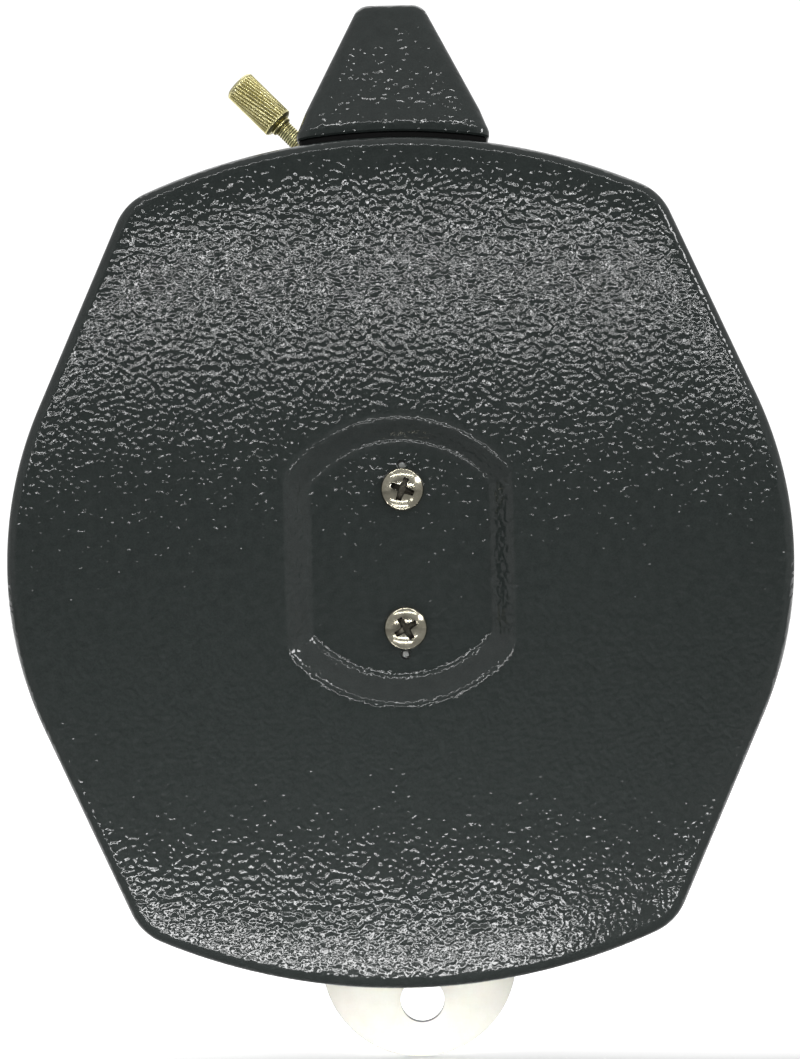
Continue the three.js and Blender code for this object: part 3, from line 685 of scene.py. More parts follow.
def rounded_rectangle(half_x, half_y, corner, count=96):
    """A ring [x, y] of a rectangle with rounded corners, spread evenly along its length."""
    turn = np.linspace(0, np.pi / 2, 25)
    quarter = np.stack([np.cos(turn), np.sin(turn)], 1) * corner + (half_x - corner, half_y - corner)
    other = quarter[::-1] * (-1, 1)
    half = np.vstack([quarter, other])
    loop = np.vstack([half, -half])
    closed = np.vstack([loop, loop[:1]])
    length = np.concatenate([[0], np.cumsum(np.linalg.norm(np.diff(closed, axis=0), axis=1))])
    at = np.linspace(0, length[-1], count, endpoint=False)
    return np.stack([np.interp(at, length, closed[:, k]) for k in range(2)], 1)


def upright(loop, z):
    """A ring [x, y] round the nose's middle line, put at a height z."""
    return np.stack([loop[:, 0], loop[:, 1] + NOSE_Y, np.full(len(loop), float(z))], 1)


def upright_block(half_x, half_y, corner, z0, z1):
    """A closed upright prism round the nose's middle line."""
    loop = rounded_rectangle(half_x, half_y, corner)
    return stitched([upright(loop, z0), upright(loop, z1)])


def plate_box(x0, x1, y0, y1, z0, z1):
    """A closed box."""
    loop = np.array([(x0, y0), (x1, y0), (x1, y1), (x0, y1)])
    return stitched([np.column_stack([loop, np.full(4, z)]) for z in (z0, z1)])


COLLAR_X, COLLAR_Y = 14.6, 11.8
tab_low, tab_high = span("hang_tab")
TAB_SLOT_HALF = 23.6
pillars = [rod(x, z, PILLAR_RADIUS, BACK + WALL - 0.5, SEAM - 0.1) for x, z in PILLARS]
rear_skin = carved(rear_skin, *pillars, operation="UNION")
openings = [upright_block(COLLAR_X + 0.3, COLLAR_Y + 0.3, 2.3, 70, 90), lock_rod(3.6, 0, 14)]
openings.append(plate_box(-TAB_SLOT_HALF, TAB_SLOT_HALF, tab_low[1] - 0.15, SEAM + 1, -90, -70))
openings += [rod(x, z, 2.3, -1, WALL + 1) for x, z in BACK_SCREWS]
openings += [rod(x, z, NIB_HOLE, -1, WALL + 1) for x, z in NIBS]
openings += [rod(x, z, 1.9, SEAM - 13, SEAM + 1) for x, z in PILLARS]
rear_skin = carved(rear_skin, *openings)
put("rear_shell", rear_skin, "case", enamel, crease=32)
print(f"rear shell: {len(rear_skin[1])} faces")

# %% [markdown]
# ## The front cover and the gasket
#
# The cover is the same kind of drawn sheet, shallower, with a raised round pad in the middle. The crank's
# hub goes through that pad. A thin rubber gasket lies in the seam between the two halves.

# %% Front cover and case gasket
DOME_BASE, DOME_TOP_RADIUS = 31.0, 27.5


def dome_rings(skin, lift, count):
    """Rings over the raised pad: out to its base the height falls from DOME_HEIGHT to nothing."""
    rings = []
    for s in np.linspace(1.25, -0.3, count):
        radius = DOME_TOP_RADIUS + (DOME_BASE - DOME_TOP_RADIUS) * (1 - s) + skin
        rings.append(ring_at(radius, lift + DOME_HEIGHT * soft_step(s)))
    return rings


def front_cover_rings():
    climb = dome_rings(0.0, FRONT, 18)
    inset, depth = arc_steps(9)
    edge = [ring_at(case_reach(EDGE * i), FRONT - EDGE * d) for i, d in zip(inset, depth)]
    rim = [
        ring_at(case_reach(0.0), COVER_RIM + 0.3), ring_at(case_reach(0.15), COVER_RIM),
        ring_at(case_reach(WALL - 0.15), COVER_RIM), ring_at(case_reach(WALL), COVER_RIM + 0.3),
    ]
    inner = [ring_at(case_reach(WALL), FRONT - WALL - 0.6), ring_at(case_reach(WALL + 0.6), FRONT - WALL)]
    under = dome_rings(-0.8, FRONT - WALL, 12)[::-1]
    centre_top = [climb[0] * (share, 1, share) for share in (0.02, 0.4, 0.8)]
    centre_under = [under[-1] * (share, 1, share) for share in (0.7, 0.02)]
    flat = blended(climb[-1], edge[0], (0.1, 0.3, 0.5, 0.8))
    return [*centre_top, *climb, *flat, *edge, *rim, *inner, *under, *centre_under]


HUB_HOLE = 12.2
TAB_PIVOT_Z = float(span("tab_rivet")[0][2] + span("tab_rivet")[1][2]) / 2
cover_skin = stitched(front_cover_rings())
cover_pillars = [rod(x, z, PILLAR_RADIUS, COVER_RIM, FRONT - WALL + 0.5) for x, z in PILLARS]
cover_skin = carved(cover_skin, *cover_pillars, operation="UNION")
holes = [rod(x, z, 1.9, COVER_RIM - 1, FRONT + 1) for x, z in PILLARS]
holes += [rod(0, 0, HUB_HOLE, FRONT - 6, FRONT + 6, 96), rod(0, TAB_PIVOT_Z, 2.7, COVER_RIM, FRONT + 1)]
cover_skin = carved(cover_skin, *holes)
put("front_cover", cover_skin, "case", enamel, crease=32)

gasket_low, gasket_high = span("case_gasket")
gasket_profile = rounded(ring_section(0.4, WALL, gasket_low[1], gasket_high[1]), 0.2, closed=True)
gasket_rings = [ring_at(case_reach(inset), y) for inset, y in gasket_profile]
put("case_gasket", stitched(gasket_rings, closed=True), "case", gap_shadow_rubber)
tell("front_cover", "case_gasket")

# %% [markdown]
# ## The nose
#
# The nose is a thin cast funnel of rectangular section. Its skin is one closed profile of rounded
# rectangles: down the outside, round its foot, up the spigot that plugs into the collar, and back up
# through the hollow to the mouth. The foot follows the case's end arc, so each point of a foot ring gets
# its own height.

# %% Nose skin
NOSE_BASE_Z, NOSE_TIP_Z = 82.0, float(nose_high[2])
NOSE_GAP, NOSE_WALL, NOSE_LIP, NOSE_CORNER = 1.4, 2.0, 1.6, 2.4
BASE_HALF_X, BASE_HALF_Y, TIP_HALF_X, TIP_HALF_Y = 19.2, 17.0, 6.3, 7.5
NOSE_SHIFT = 0.3
SPIGOT_X, SPIGOT_Y, SPIGOT_WALL = 11.0, 9.4, 1.6
SPIGOT_BOTTOM = float(nose_low[2])
SKIRT = 2.4


def nose_ring(z, inset=0.0):
    """The nose's section at a height. The flanks are straight, apart from a short skirt at the foot."""
    share = (max(z, NOSE_BASE_Z + SKIRT * 0.6) - NOSE_BASE_Z) / (NOSE_TIP_Z - NOSE_BASE_Z)
    half_x = BASE_HALF_X + (TIP_HALF_X - BASE_HALF_X) * share - inset
    half_y = BASE_HALF_Y + (TIP_HALF_Y - BASE_HALF_Y) * share - inset
    return rounded_rectangle(half_x, half_y, max(NOSE_CORNER - inset, 0.5)) + (NOSE_SHIFT, 0.0)


def arc_height(x, rise):
    """Height of the case's end arc, raised by rise, above a point x."""
    return END_CENTRE + np.sqrt((END_RADIUS + rise) ** 2 - x**2)


def footed(loop, rise):
    """A ring that follows the end arc instead of lying level."""
    return np.stack([loop[:, 0], loop[:, 1] + NOSE_Y, arc_height(loop[:, 0], rise)], 1)


def nose_rings():
    mouth = [upright(rounded_rectangle(2.7, 2.7, 2.69), NOSE_TIP_Z - depth) for depth in (6.0, 3.0, 0.0)]
    tip = []
    for angle in np.linspace(0, np.pi / 2, 8):
        z = NOSE_TIP_Z - NOSE_LIP * (1 - math.sin(angle))
        tip.append(upright(nose_ring(z, NOSE_LIP * (1 - math.cos(angle))), z))
    flank_heights = np.linspace(NOSE_TIP_Z - NOSE_LIP - 1.0, NOSE_BASE_Z + 5.0, 14)
    flank = [upright(nose_ring(z), z) for z in flank_heights]
    skirt = [footed(nose_ring(NOSE_BASE_Z + lift), NOSE_GAP + lift) for lift in (2.6, 1.9, 1.2, 0.35)]
    foot = [footed(nose_ring(NOSE_BASE_Z, 0.3), NOSE_GAP), footed(nose_ring(NOSE_BASE_Z, 4.0), NOSE_GAP)]
    spigot = rounded_rectangle(SPIGOT_X, SPIGOT_Y, 1.2)
    bore = rounded_rectangle(SPIGOT_X - SPIGOT_WALL, SPIGOT_Y - SPIGOT_WALL, 0.8)
    plug = [footed(spigot, NOSE_GAP), upright(spigot, SPIGOT_BOTTOM + 0.3)]
    for less in (0.25, SPIGOT_WALL - 0.2):
        plug.append(upright(rounded_rectangle(SPIGOT_X - less, SPIGOT_Y - less, 1.0), SPIGOT_BOTTOM))
    hollow = [upright(bore, z) for z in (SPIGOT_BOTTOM + 0.3, 78.0, 84.0)]
    hollow += [upright(nose_ring(z, NOSE_WALL + 3.5 * (NOSE_TIP_Z - z) / 25), z) for z in (88.0, 96.0)]
    hollow.append(upright(nose_ring(103.0, NOSE_WALL), 103.0))
    rings = [mouth[2], *tip[::-1], *flank, *skirt, *foot, *plug, *hollow, *mouth[:2]]
    return np.array(rings)


nose_skin = stitched(nose_rings(), closed=True)
NOTCH_HALF = 2.1
notch_height = lambda x: LOCK_TIP[2] + (LOCK_TIP[0] - x) * math.tan(LOCK_RISE)
notch_loop = np.array([(-26, 70), (-13, 70), (-13, notch_height(-13)), (-26, notch_height(-26))])
notch = stitched([lifted(notch_loop, y) for y in (NOSE_Y - NOTCH_HALF, NOSE_Y + NOTCH_HALF)])
nose_skin = carved(nose_skin, notch, lock_rod(NOTCH_HALF, 1.5, 18))
put("nose", nose_skin, "nose_unit", enamel, crease=38)
print(f"nose: {len(nose_skin[1])} faces")

# %% [markdown]
# ## The neck: gasket, collar, eyelet, wiper
#
# The collar is a cast tube with a flange, pushed up through the case from inside, and a boss on its side
# takes the lock screw. A rubber gasket fills the gap under the nose; its near-black colour is also painted
# shadow of that gap. Inside the nose's spigot, a felt wiper cleans the line and a zinc plate holds the felt
# in.

# %% Neck collar and nose gasket
COLLAR_BOTTOM, FLANGE_TOP, FLANGE_THICK, FLANGE_OUT = 66.0, 76.6, 2.0, 3.2
SPIGOT_BORE = 0.4


def tube_rings(half_x, half_y, corner, inner_x, inner_y, inner_corner, z0, z1, edge=0.3):
    """A closed profile of rectangular rings: an upright tube from z0 to z1 with broken edges."""
    outer = [(half_x - edge, z0), (half_x, z0 + edge), (half_x, z1 - edge), (half_x - edge, z1)]
    inner = [(inner_x + edge, z1), (inner_x, z1 - edge), (inner_x, z0 + edge), (inner_x + edge, z0)]
    rings = [upright(rounded_rectangle(x, x + half_y - half_x, corner), z) for x, z in outer]
    rings += [upright(rounded_rectangle(x, x + inner_y - inner_x, inner_corner), z) for x, z in inner]
    return stitched(rings, closed=True)


def case_wall(rise, y0, y1):
    """A closed plate with the case's outline, to trim parts that meet the wall."""
    return stitched([ring_at(case_reach(-rise), y) for y in (y0, y1)])


collar_tube = tube_rings(
    COLLAR_X, COLLAR_Y, 2.0, SPIGOT_X + SPIGOT_BORE, SPIGOT_Y + SPIGOT_BORE, 1.2, COLLAR_BOTTOM, 90.0
)
collar_tube = carved(collar_tube, lock_rod(3.3, 0, 9), operation="UNION")
collar_tube = carved(collar_tube, case_wall(-0.1, 0, SEAM), operation="INTERSECT")
flange_bottom = FLANGE_TOP - FLANGE_THICK
collar_flange = upright_block(COLLAR_X + FLANGE_OUT, COLLAR_Y + FLANGE_OUT, 3.0, flange_bottom, FLANGE_TOP)
collar_skin = carved(collar_tube, collar_flange, operation="UNION")
bore_block = upright_block(SPIGOT_X + SPIGOT_BORE, SPIGOT_Y + SPIGOT_BORE, 1.2, COLLAR_BOTTOM - 1, 91)
collar_skin = carved(collar_skin, bore_block, lock_rod(1.95, -3, 12))
put("neck_collar", collar_skin, "case", cast_zinc)


def nose_gasket_rings():
    """The band between the nose's foot and the case: four rings that all follow the end arc."""
    inner = rounded_rectangle(COLLAR_X + 0.2, COLLAR_Y + 0.2, 2.0)
    rings = []
    for rise, inset in ((0.1, 0.7), (0.35, 0.5), (NOSE_GAP - 0.3, 0.5), (NOSE_GAP - 0.1, 0.65)):
        rings.append(footed(nose_ring(NOSE_BASE_Z, inset), rise))
    return [*rings, footed(inner, NOSE_GAP - 0.1), footed(inner, 0.1)]


# The nose gasket's near-black is partly rubber and partly painted shadow of the gap under the nose.
seal_skin = carved(stitched(nose_gasket_rings(), closed=True), lock_rod(3.4, 2, 14))
put("nose_gasket", seal_skin, "case", gap_shadow_rubber)
tell("neck_collar", "nose_gasket")

# %% Eyelet, wiper and its plate
def on_line(profile, edge=0.2, segments=64):
    """A closed profile [r, z] turned about the line's upright path through the nose."""
    shaped = rounded(profile, edge, closed=True)
    return stitched(swept(shaped, (0, NOSE_Y, 0), (0, 0, 1), segments=segments), closed=True)


TOP = NOSE_TIP_Z
eyelet = [
    (1.2, TOP - 6), (2.6, TOP - 6), (2.6, TOP - 1), (4.2, TOP - 0.98), (4.2, TOP - 0.2), (3.1, TOP),
    (2.2, TOP - 0.35), (1.2, TOP - 2.2),
]
put("mouth_eyelet", on_line(eyelet), "nose_unit", brass)

FELT_X, FELT_Y = SPIGOT_X - SPIGOT_WALL - 0.2, SPIGOT_Y - SPIGOT_WALL - 0.2
for node, finish, hole in (("wiper_felt", felt, 1.1), ("felt_retainer", zinc, 3.5)):
    low, high = span(node)
    block = upright_block(FELT_X, FELT_Y, 0.9, low[2], high[2])
    bore = [(0.02, low[2] - 1), (hole, low[2] - 1), (hole, high[2] + 1), (0.02, high[2] + 1)]
    put(node, carved(block, stitched(swept(bore, (0, NOSE_Y, 0), (0, 0, 1)))), "nose_unit", finish)


tell("mouth_eyelet", "wiper_felt", "felt_retainer")

# %% [markdown]
# ## The knurled lock screw
#
# The screw clamps the nose. Its head is knurled by a wheel with fine slanted teeth, its shank has a fine
# thread, and a nylon pad is pressed by its tip. Both the knurl and the thread are a radius that depends on
# the turn and on the height, so one sweep makes the whole screw.

# %% Lock screw and pad
THREAD_RADIUS, THREAD_PITCH, THREAD_DEPTH = 1.75, 0.5, 0.16
HEAD_START, HEAD_LENGTH, HEAD_RADIUS = 14.4, 11.5, 3.25
SHOULDER_RADIUS, PAD_LENGTH = 2.15, 1.6
KNURL_TEETH, KNURL_DEPTH, KNURL_SLANT = 28, 0.24, 0.26


def knurl_depth(angle, profile):
    """Depth of the teeth, from 0 at a ridge to 1 in a groove. They lean, as on a slanted knurl."""
    height = profile[:, 1:2]
    turns = angle / (2 * np.pi)
    share = np.clip((height - HEAD_START - 0.5) / 0.5, 0, 1)
    share = share * np.clip((HEAD_START + HEAD_LENGTH - 0.6 - height) / 0.5, 0, 1)
    slant = KNURL_SLANT * (height - HEAD_START)
    return share * np.abs(2 * ((KNURL_TEETH * turns + slant) % 1) - 1)


def knurled(angle, profile):
    """Radius of the lock screw: a thread low down, the teeth on the head, plain elsewhere."""
    radius, height = profile[:, 0:1], profile[:, 1:2]
    on_thread = (height > 2.6) & (height < HEAD_START - 1.1)
    thread = THREAD_DEPTH * np.abs(2 * ((height / THREAD_PITCH - angle / (2 * np.pi)) % 1) - 1)
    return radius - np.where(on_thread, thread, 0) - KNURL_DEPTH * knurl_depth(angle, profile)


def lock_screw_profile():
    shank = [(THREAD_RADIUS, h) for h in np.arange(2.4, HEAD_START - 0.95, THREAD_PITCH / 8)]
    top = HEAD_START + HEAD_LENGTH
    head = [(HEAD_RADIUS, h) for h in np.linspace(HEAD_START + 0.45, top - 0.55, 90)]
    return np.array([
        (0.02, PAD_LENGTH + 0.1), (THREAD_RADIUS * 0.75, PAD_LENGTH + 0.1), (THREAD_RADIUS - 0.1, 2.2),
        *shank, (THREAD_RADIUS - 0.3, HEAD_START - 0.9), (SHOULDER_RADIUS - 0.15, HEAD_START - 0.9),
        (SHOULDER_RADIUS, HEAD_START - 0.75), (SHOULDER_RADIUS, HEAD_START - 0.15),
        (SHOULDER_RADIUS - 0.2, HEAD_START), (HEAD_RADIUS - 0.55, HEAD_START),
        (HEAD_RADIUS - 0.1, HEAD_START + 0.35),
        *head, (HEAD_RADIUS - 0.12, top - 0.4), (HEAD_RADIUS - 0.6, top), (HEAD_RADIUS - 1.0, top - 0.15),
        (1.2, top - 0.2), (0.02, top - 0.2),
    ])


screw_profile = lock_screw_profile()
screw_angles = np.linspace(0, 2 * np.pi, KNURL_TEETH * 12, endpoint=False)
screw_skin = stitched(swept(screw_profile, LOCK_TIP, LOCK_AXIS, knurled, segments=len(screw_angles)))
# The groove depths carry the painted shade in the knurl's grooves.
grooves = np.append(knurl_depth(screw_angles[None, :], screw_profile).ravel(), (0.0, 0.0))
put("thumb_screw", (*screw_skin, grooves), "lock_screw", knurled_brass, crease=70)
pad_profile = rounded([(0.02, 0), (1.4, 0), (1.4, PAD_LENGTH), (0.02, PAD_LENGTH)], 0.3)
put("lock_pad", stitched(swept(pad_profile, LOCK_TIP, LOCK_AXIS)), "screw_pad", nylon)
tell("thumb_screw", "lock_pad")

# %% [markdown]
# ## Flat plates
#
# The hanging tab and the crank's arm are stamped from sheet. A stamped plate is an outline and a thickness
# with slightly rolled edges; its outline here is two arcs and their common tangents. Holes go through it
# last.

# %% Tab and its rivet
def two_arcs(radius_a, radius_b, distance, points=60):
    """Outline [x, z] of the shape that wraps a circle at the origin and a second one straight below it."""
    spread_angle = math.asin((radius_b - radius_a) / distance)
    upper = np.linspace(-spread_angle * -1, np.pi - spread_angle, points)
    lower = np.linspace(np.pi - spread_angle, 2 * np.pi + spread_angle, points * 2)
    top = np.stack([np.cos(upper), np.sin(upper)], 1) * radius_a
    bottom = np.stack([np.cos(lower), np.sin(lower)], 1) * radius_b - (0, distance)
    return np.vstack([top, bottom])


def stamped(loop, y0, y1, roll=0.25):
    """A plate with the outline [x, z] between two depths. Its edges are rolled by shrinking the outline."""
    after, before = np.roll(loop, -1, 0), np.roll(loop, 1, 0)
    along = after - before
    normal = np.stack([along[:, 1], -along[:, 0]], 1) / np.linalg.norm(along, axis=1)[:, None]
    rings = []
    for inset, y in ((roll, y0), (roll * 0.3, y0 + roll * 0.3), (0, y0 + roll), (0, y1 - roll),
                     (roll * 0.3, y1 - roll * 0.3), (roll, y1)):
        shrunk = loop - normal * inset
        rings.append(lifted(shrunk, y))
    return stitched(rings)


def leaned(skin, angle, x, z):
    """A skin turned about a line along Y through (x, z)."""
    points = skin[0] - (x, 0, z)
    c, s = math.cos(angle), math.sin(angle)
    turned_x = points[:, 0] * c - points[:, 2] * s
    turned_z = points[:, 0] * s + points[:, 2] * c
    return np.stack([turned_x, points[:, 1], turned_z], 1) + (x, 0, z), skin[1]


TAB_TILT = math.radians(3.5)
TAB_EYE, TAB_END, TAB_DROP, TAB_HOLE, TAB_HOLE_DROP = 8.0, 19.9, 32.9, 4.5, 41.3
tab_blank = stamped(two_arcs(TAB_EYE, TAB_END, TAB_DROP), tab_low[1], tab_high[1], 0.3)
through = (tab_low[1] - 1, tab_high[1] + 1)
tab_skin = carved(tab_blank, rod(0, 0, 2.65, *through), rod(0, -TAB_HOLE_DROP, TAB_HOLE, *through, 96))
tab_skin = (tab_skin[0] + (0, 0, TAB_PIVOT_Z), tab_skin[1])
put("hang_tab", leaned(tab_skin, TAB_TILT, 0, TAB_PIVOT_Z), "tab", zinc, crease=30, rim=edge_shade_metal)

rivet_low, rivet_high = span("tab_rivet")
rivet = [
    (0, rivet_low[1]), (4.2, rivet_low[1]), (4.2, tab_low[1] - 0.1), (2.5, tab_low[1] - 0.1),
    (2.5, FRONT + 0.1), (4.5, FRONT + 0.1), (3.6, FRONT + 1.3), (0, rivet_high[1]),
]
put("tab_rivet", turned(rivet, 0, TAB_PIVOT_Z), "case", zinc)


def tube_piece(node, inner, outer, body, finish, x=0.0, z=0.0, edge=0.25, segments=72):
    """A plain ring between its node's two depths."""
    low, high = span(node)
    profile = ring_section(inner, outer, low[1], high[1])
    put(node, turned(profile, x, z, edge, segments, bored=True), body, finish)


tube_piece("tab_spacer", 2.65, 6.0, "case", zinc, z=TAB_PIVOT_Z)
tell("hang_tab", "tab_rivet", "tab_spacer")

# %% [markdown]
# ## Cross-recess screws
#
# A pan head is a low dome with a cross pressed into it. The head is a height over the plane: a dome, minus
# a pit wherever a point lies inside the cross. The cross has tapered arms and a pointed middle, as the bit
# does. A polar grid that is fine in the middle keeps the cross's edges crisp.

# %% Pan-head screw
def cross_depth(x, z, reach, half, turn):
    """Depth of the cross pit, from 0 outside to 1 inside: four arms with a flare where they meet."""
    c, s = math.cos(turn), math.sin(turn)
    a, b = np.abs(x * c + z * s), np.abs(-x * s + z * c)
    long_way, short_way = np.maximum(a, b), np.minimum(a, b)
    flare = half * (1 + 0.55 * np.exp(-((long_way / (reach * 0.42)) ** 2)))
    wall = 0.075 * reach
    side = np.clip((flare - short_way) / wall, 0, 1)
    end = np.clip((reach - long_way) / wall, 0, 1)
    slope = 0.45 + 0.55 * np.clip((reach - long_way) / (0.75 * reach), 0, 1)
    return np.minimum(side, end) * slope


def pan_screw(head, height, shank, length, reach, half, turn=0.0, dome=0.5, threaded=True, out=1.0):
    """A screw along Y with its head's seat at y = 0 and the head towards out * Y."""
    segments = 160
    inner = np.linspace(0.02, reach * 1.12, 46)
    outer = np.linspace(reach * 1.12, head * 0.9, 9)[1:]
    bend = np.linspace(0, np.pi / 2, 7)
    rim_radius = head * 0.9 + head * 0.1 * np.sin(bend)
    rim_height = height * (1 - dome) * 0.35 + (height * 0.62 - height * (1 - dome) * 0.35) * np.cos(bend)
    top_radius = np.concatenate([inner, outer])
    top_height = height * 0.62 + height * 0.38 * (1 - (top_radius / (head * 0.9)) ** 2.4)
    angle = np.linspace(0, 2 * np.pi, segments, endpoint=False)

    def ring(radius, level):
        return np.stack([radius * np.cos(angle), np.full(segments, out * level), radius * np.sin(angle)], 1)

    rings = []
    pits = []
    for radius, level in zip(top_radius, top_height):
        x, z = radius * np.cos(angle), radius * np.sin(angle)
        pit = cross_depth(x, z, reach, half, turn) if radius < reach * 1.12 else 0 * angle
        pits.append(pit)
        rings.append(ring(radius, level - height * 0.72 * pit))
    under = [(head, 0.15), (head - 0.15, 0.0), (shank + 0.1, 0.0)]
    rings += [ring(radius, level) for radius, level in [*zip(rim_radius[1:], rim_height[1:]), *under]]
    heights = np.arange(0.3, length - 0.8, 0.09) if threaded else np.array([0.3, length - 0.8])
    for h in heights:
        thread = 0.16 * np.abs(2 * ((h / 0.7 - angle / (2 * np.pi)) % 1) - 1) if threaded else 0
        rings.append(ring(shank - thread, -h))
    tip = [(shank - 0.3, -length + 0.4), (shank * 0.6, -length), (0.02, -length)]
    rings += [ring(radius, level) for radius, level in tip]
    points, faces = stitched(rings)
    # These pit depths carry the painted shade in the cross recess, full at its middle.
    pit_shade = np.zeros(len(points))
    pit_shade[: len(pits) * segments] = np.concatenate(pits)
    pit_shade[-2] = 1.0
    return points, faces, pit_shade


def shifted(skin, x=0.0, y=0.0, z=0.0):
    """A skin moved by x, y and z."""
    return skin[0] + (x, y, z), *skin[1:]


print("a plain screw is", len(pan_screw(4, 2.5, 2, 8, 2.2, 0.5, threaded=False)[1]), "faces")

# %% Screws in the back and the cover
BACK_HEAD, BACK_HEIGHT, BACK_SHANK, BACK_LENGTH = 4.2, 2.6, 2.1, 7.2
CROSS_TURNS = (math.radians(68), math.radians(31))
for (x, z), node, turn in zip(BACK_SCREWS, ("back_screw_top", "back_screw_bottom"), CROSS_TURNS):
    screw = pan_screw(BACK_HEAD, BACK_HEIGHT, BACK_SHANK, BACK_LENGTH, 2.3, 0.5, turn, 0.7, False, out=-1.0)
    put(node, shifted(screw, x, -0.05, z), "case", screw_nickel, crease=24)

for i, (x, z) in enumerate(PILLARS):
    screw = pan_screw(3.4, 2.2, 1.7, 17.0, 1.8, 0.36, math.radians(17 + 41 * i), 0.7)
    put(f"cover_screw_{i + 1}", shifted(screw, x, FRONT + 0.05, z), "case", screw_nickel, crease=24)


tell("back_screw_top", "back_screw_bottom", "cover_screw_1")

# %% [markdown]
# ## The axle and the spool
#
# A cast flange is screwed inside the back and carries a steel spindle. The spool turns on it: a drum
# between two flanges with windows, which let the chalk reach the line. Three screws hold the spool
# together.

# %% Axle flange and spindle
def chorded_loop(radius, half, count=240):
    """Outline [x, z] of a circle cut off by two upright chords."""
    turn = np.linspace(0, 2 * np.pi, count, endpoint=False)
    reach = (radius**-70.0 + (half / np.maximum(np.abs(np.cos(turn)), 1e-3)) ** -70.0) ** (-1 / 70.0)
    return np.stack([reach * np.cos(turn), reach * np.sin(turn)], 1)


axle_low, axle_high = span("axle_flange")
AXLE_TOP = float(axle_high[1])
axle = stamped(chorded_loop(20.5, 15.5), WALL + 0.05, AXLE_TOP, 0.5)
axle = carved(axle, *[rod(x, z, NIB_RADIUS, axle_low[1], 4, 24) for x, z in NIBS], operation="UNION")
axle = carved(axle, *[rod(x, z, 2.25, 0, 7) for x, z in BACK_SCREWS], rod(0, 0, 5.05, 0, 8, 72))
put("axle_flange", axle, "case", cast_zinc)

spindle_end = span("spindle")[0][1]
spindle = [(0, spindle_end), (5, spindle_end), (5, 19), (2.5, 19), (2.5, 9), (0, 9)]
put("spindle", turned(spindle, edge=0.3), "case", zinc)
tell("axle_flange", "spindle")

# %% Spool
SPOOL_RADIUS, DRUM_RADIUS, BUSH_BORE, HUB_BORE = 52.0, 17.0, 6.6, 8.8
WINDOW_COUNT, WINDOW_IN, WINDOW_OUT, WINDOW_HALF = 8, 25.0, 41.0, math.radians(11.5)
SPOOL_SCREWS = [middle_xz(f"spool_screw_{i}") for i in (1, 2, 3)]


def window(middle, y0, y1):
    """A closed block to cut one window: a sector with rounded corners."""
    share = np.linspace(0, 2 * np.pi, 60, endpoint=False)
    box_u = np.sign(np.cos(share)) * np.abs(np.cos(share)) ** 0.35
    box_v = np.sign(np.sin(share)) * np.abs(np.sin(share)) ** 0.35
    radius = (WINDOW_IN + WINDOW_OUT) / 2 + (WINDOW_OUT - WINDOW_IN) / 2 * box_u
    angle = middle + WINDOW_HALF * box_v
    loop = np.stack([radius * np.cos(angle), radius * np.sin(angle)], 1)
    return stitched([lifted(loop, y) for y in (y0, y1)])


def spool_flange(node, bore):
    low, high = span(node)
    skin = turned(ring_section(bore, SPOOL_RADIUS, low[1], high[1]), edge=0.7, segments=192, bored=True)
    middles = [(i + 0.5) * 2 * np.pi / WINDOW_COUNT for i in range(WINDOW_COUNT)]
    cuts = [window(middle, low[1] - 1, high[1] + 1) for middle in middles]
    cuts += [rod(x, z, 1.3, low[1] - 1, high[1] + 1, 24) for x, z in SPOOL_SCREWS]
    put(node, carved(skin, *cuts), "reel", reel_plastic)


spool_flange("spool_back_flange", BUSH_BORE)
spool_flange("spool_front_flange", HUB_BORE)
drum_low, drum_high = span("spool_drum")
SOCKET_HALF, SOCKET_DEPTH = 6.2, 8.3
drum = ring_section(BUSH_BORE, DRUM_RADIUS, drum_low[1], drum_high[1])
drum = turned(drum, edge=0.4, segments=128, bored=True)
socket_floor = drum_high[1] - SOCKET_DEPTH
drum = carved(
    drum, plate_box(-SOCKET_HALF, SOCKET_HALF, socket_floor, drum_high[1] + 1, -SOCKET_HALF, SOCKET_HALF),
    *[rod(x, z, 1.3, 14, 40, 24) for x, z in SPOOL_SCREWS],
)
put("spool_drum", drum, "reel", reel_plastic)
SPOOL_FRONT = float(span("spool_front_flange")[1][1])
for i, (x, z) in enumerate(SPOOL_SCREWS):
    screw = pan_screw(2.2, 0.35, 1.1, 14.0, 1.2, 0.26, math.radians(30 + 50 * i), 0.7)
    put(f"spool_screw_{i + 1}", shifted(screw, x, SPOOL_FRONT + 0.02, z), "reel", zinc, crease=24)

bush_low, bush_high = span("spool_bush")
bush = [(5.1, bush_low[1]), (9, bush_low[1]), (9, 7.9), (6.5, 7.9), (6.5, bush_high[1]), (5.1, bush_high[1])]
put("spool_bush", turned(bush, bored=True), "reel", nylon)
tell("spool_back_flange", "spool_drum", "spool_front_flange", "spool_bush")

# %% [markdown]
# ## The line
#
# The wound line is one coil whose outside shows its turns: a ridge every line's width across the drum,
# tilted a little from turn to turn. The lead is a twisted cord that leaves the coil at a tangent, turns at
# the neck and runs straight up through the wiper to the mouth. Its section is three strands that rotate
# along the way.

# %% Wound line and its lead
coil_low, coil_high = span("wound_line")
LINE_RADIUS, COIL_RADIUS, COIL_CORE = 0.8, 43.0, 17.3


def wound(angle, profile):
    """Coil radius: ridges one line apart across the coil, slanted by the winding, and gentle unevenness."""
    radius, height = profile[:, 0:1], profile[:, 1:2]
    turns = height / (2 * LINE_RADIUS) + angle / (2 * np.pi) + 0.12 * np.sin(3 * angle)
    ridge = np.abs(np.sin(np.pi * turns))
    sag = 0.35 * np.sin(2 * angle + 0.4 * height) * np.sin(0.9 * height)
    outer = radius > COIL_CORE + 4
    return radius - np.where(outer, 0.55 * (1 - ridge) + 0.35 + 0.3 * sag, 0)


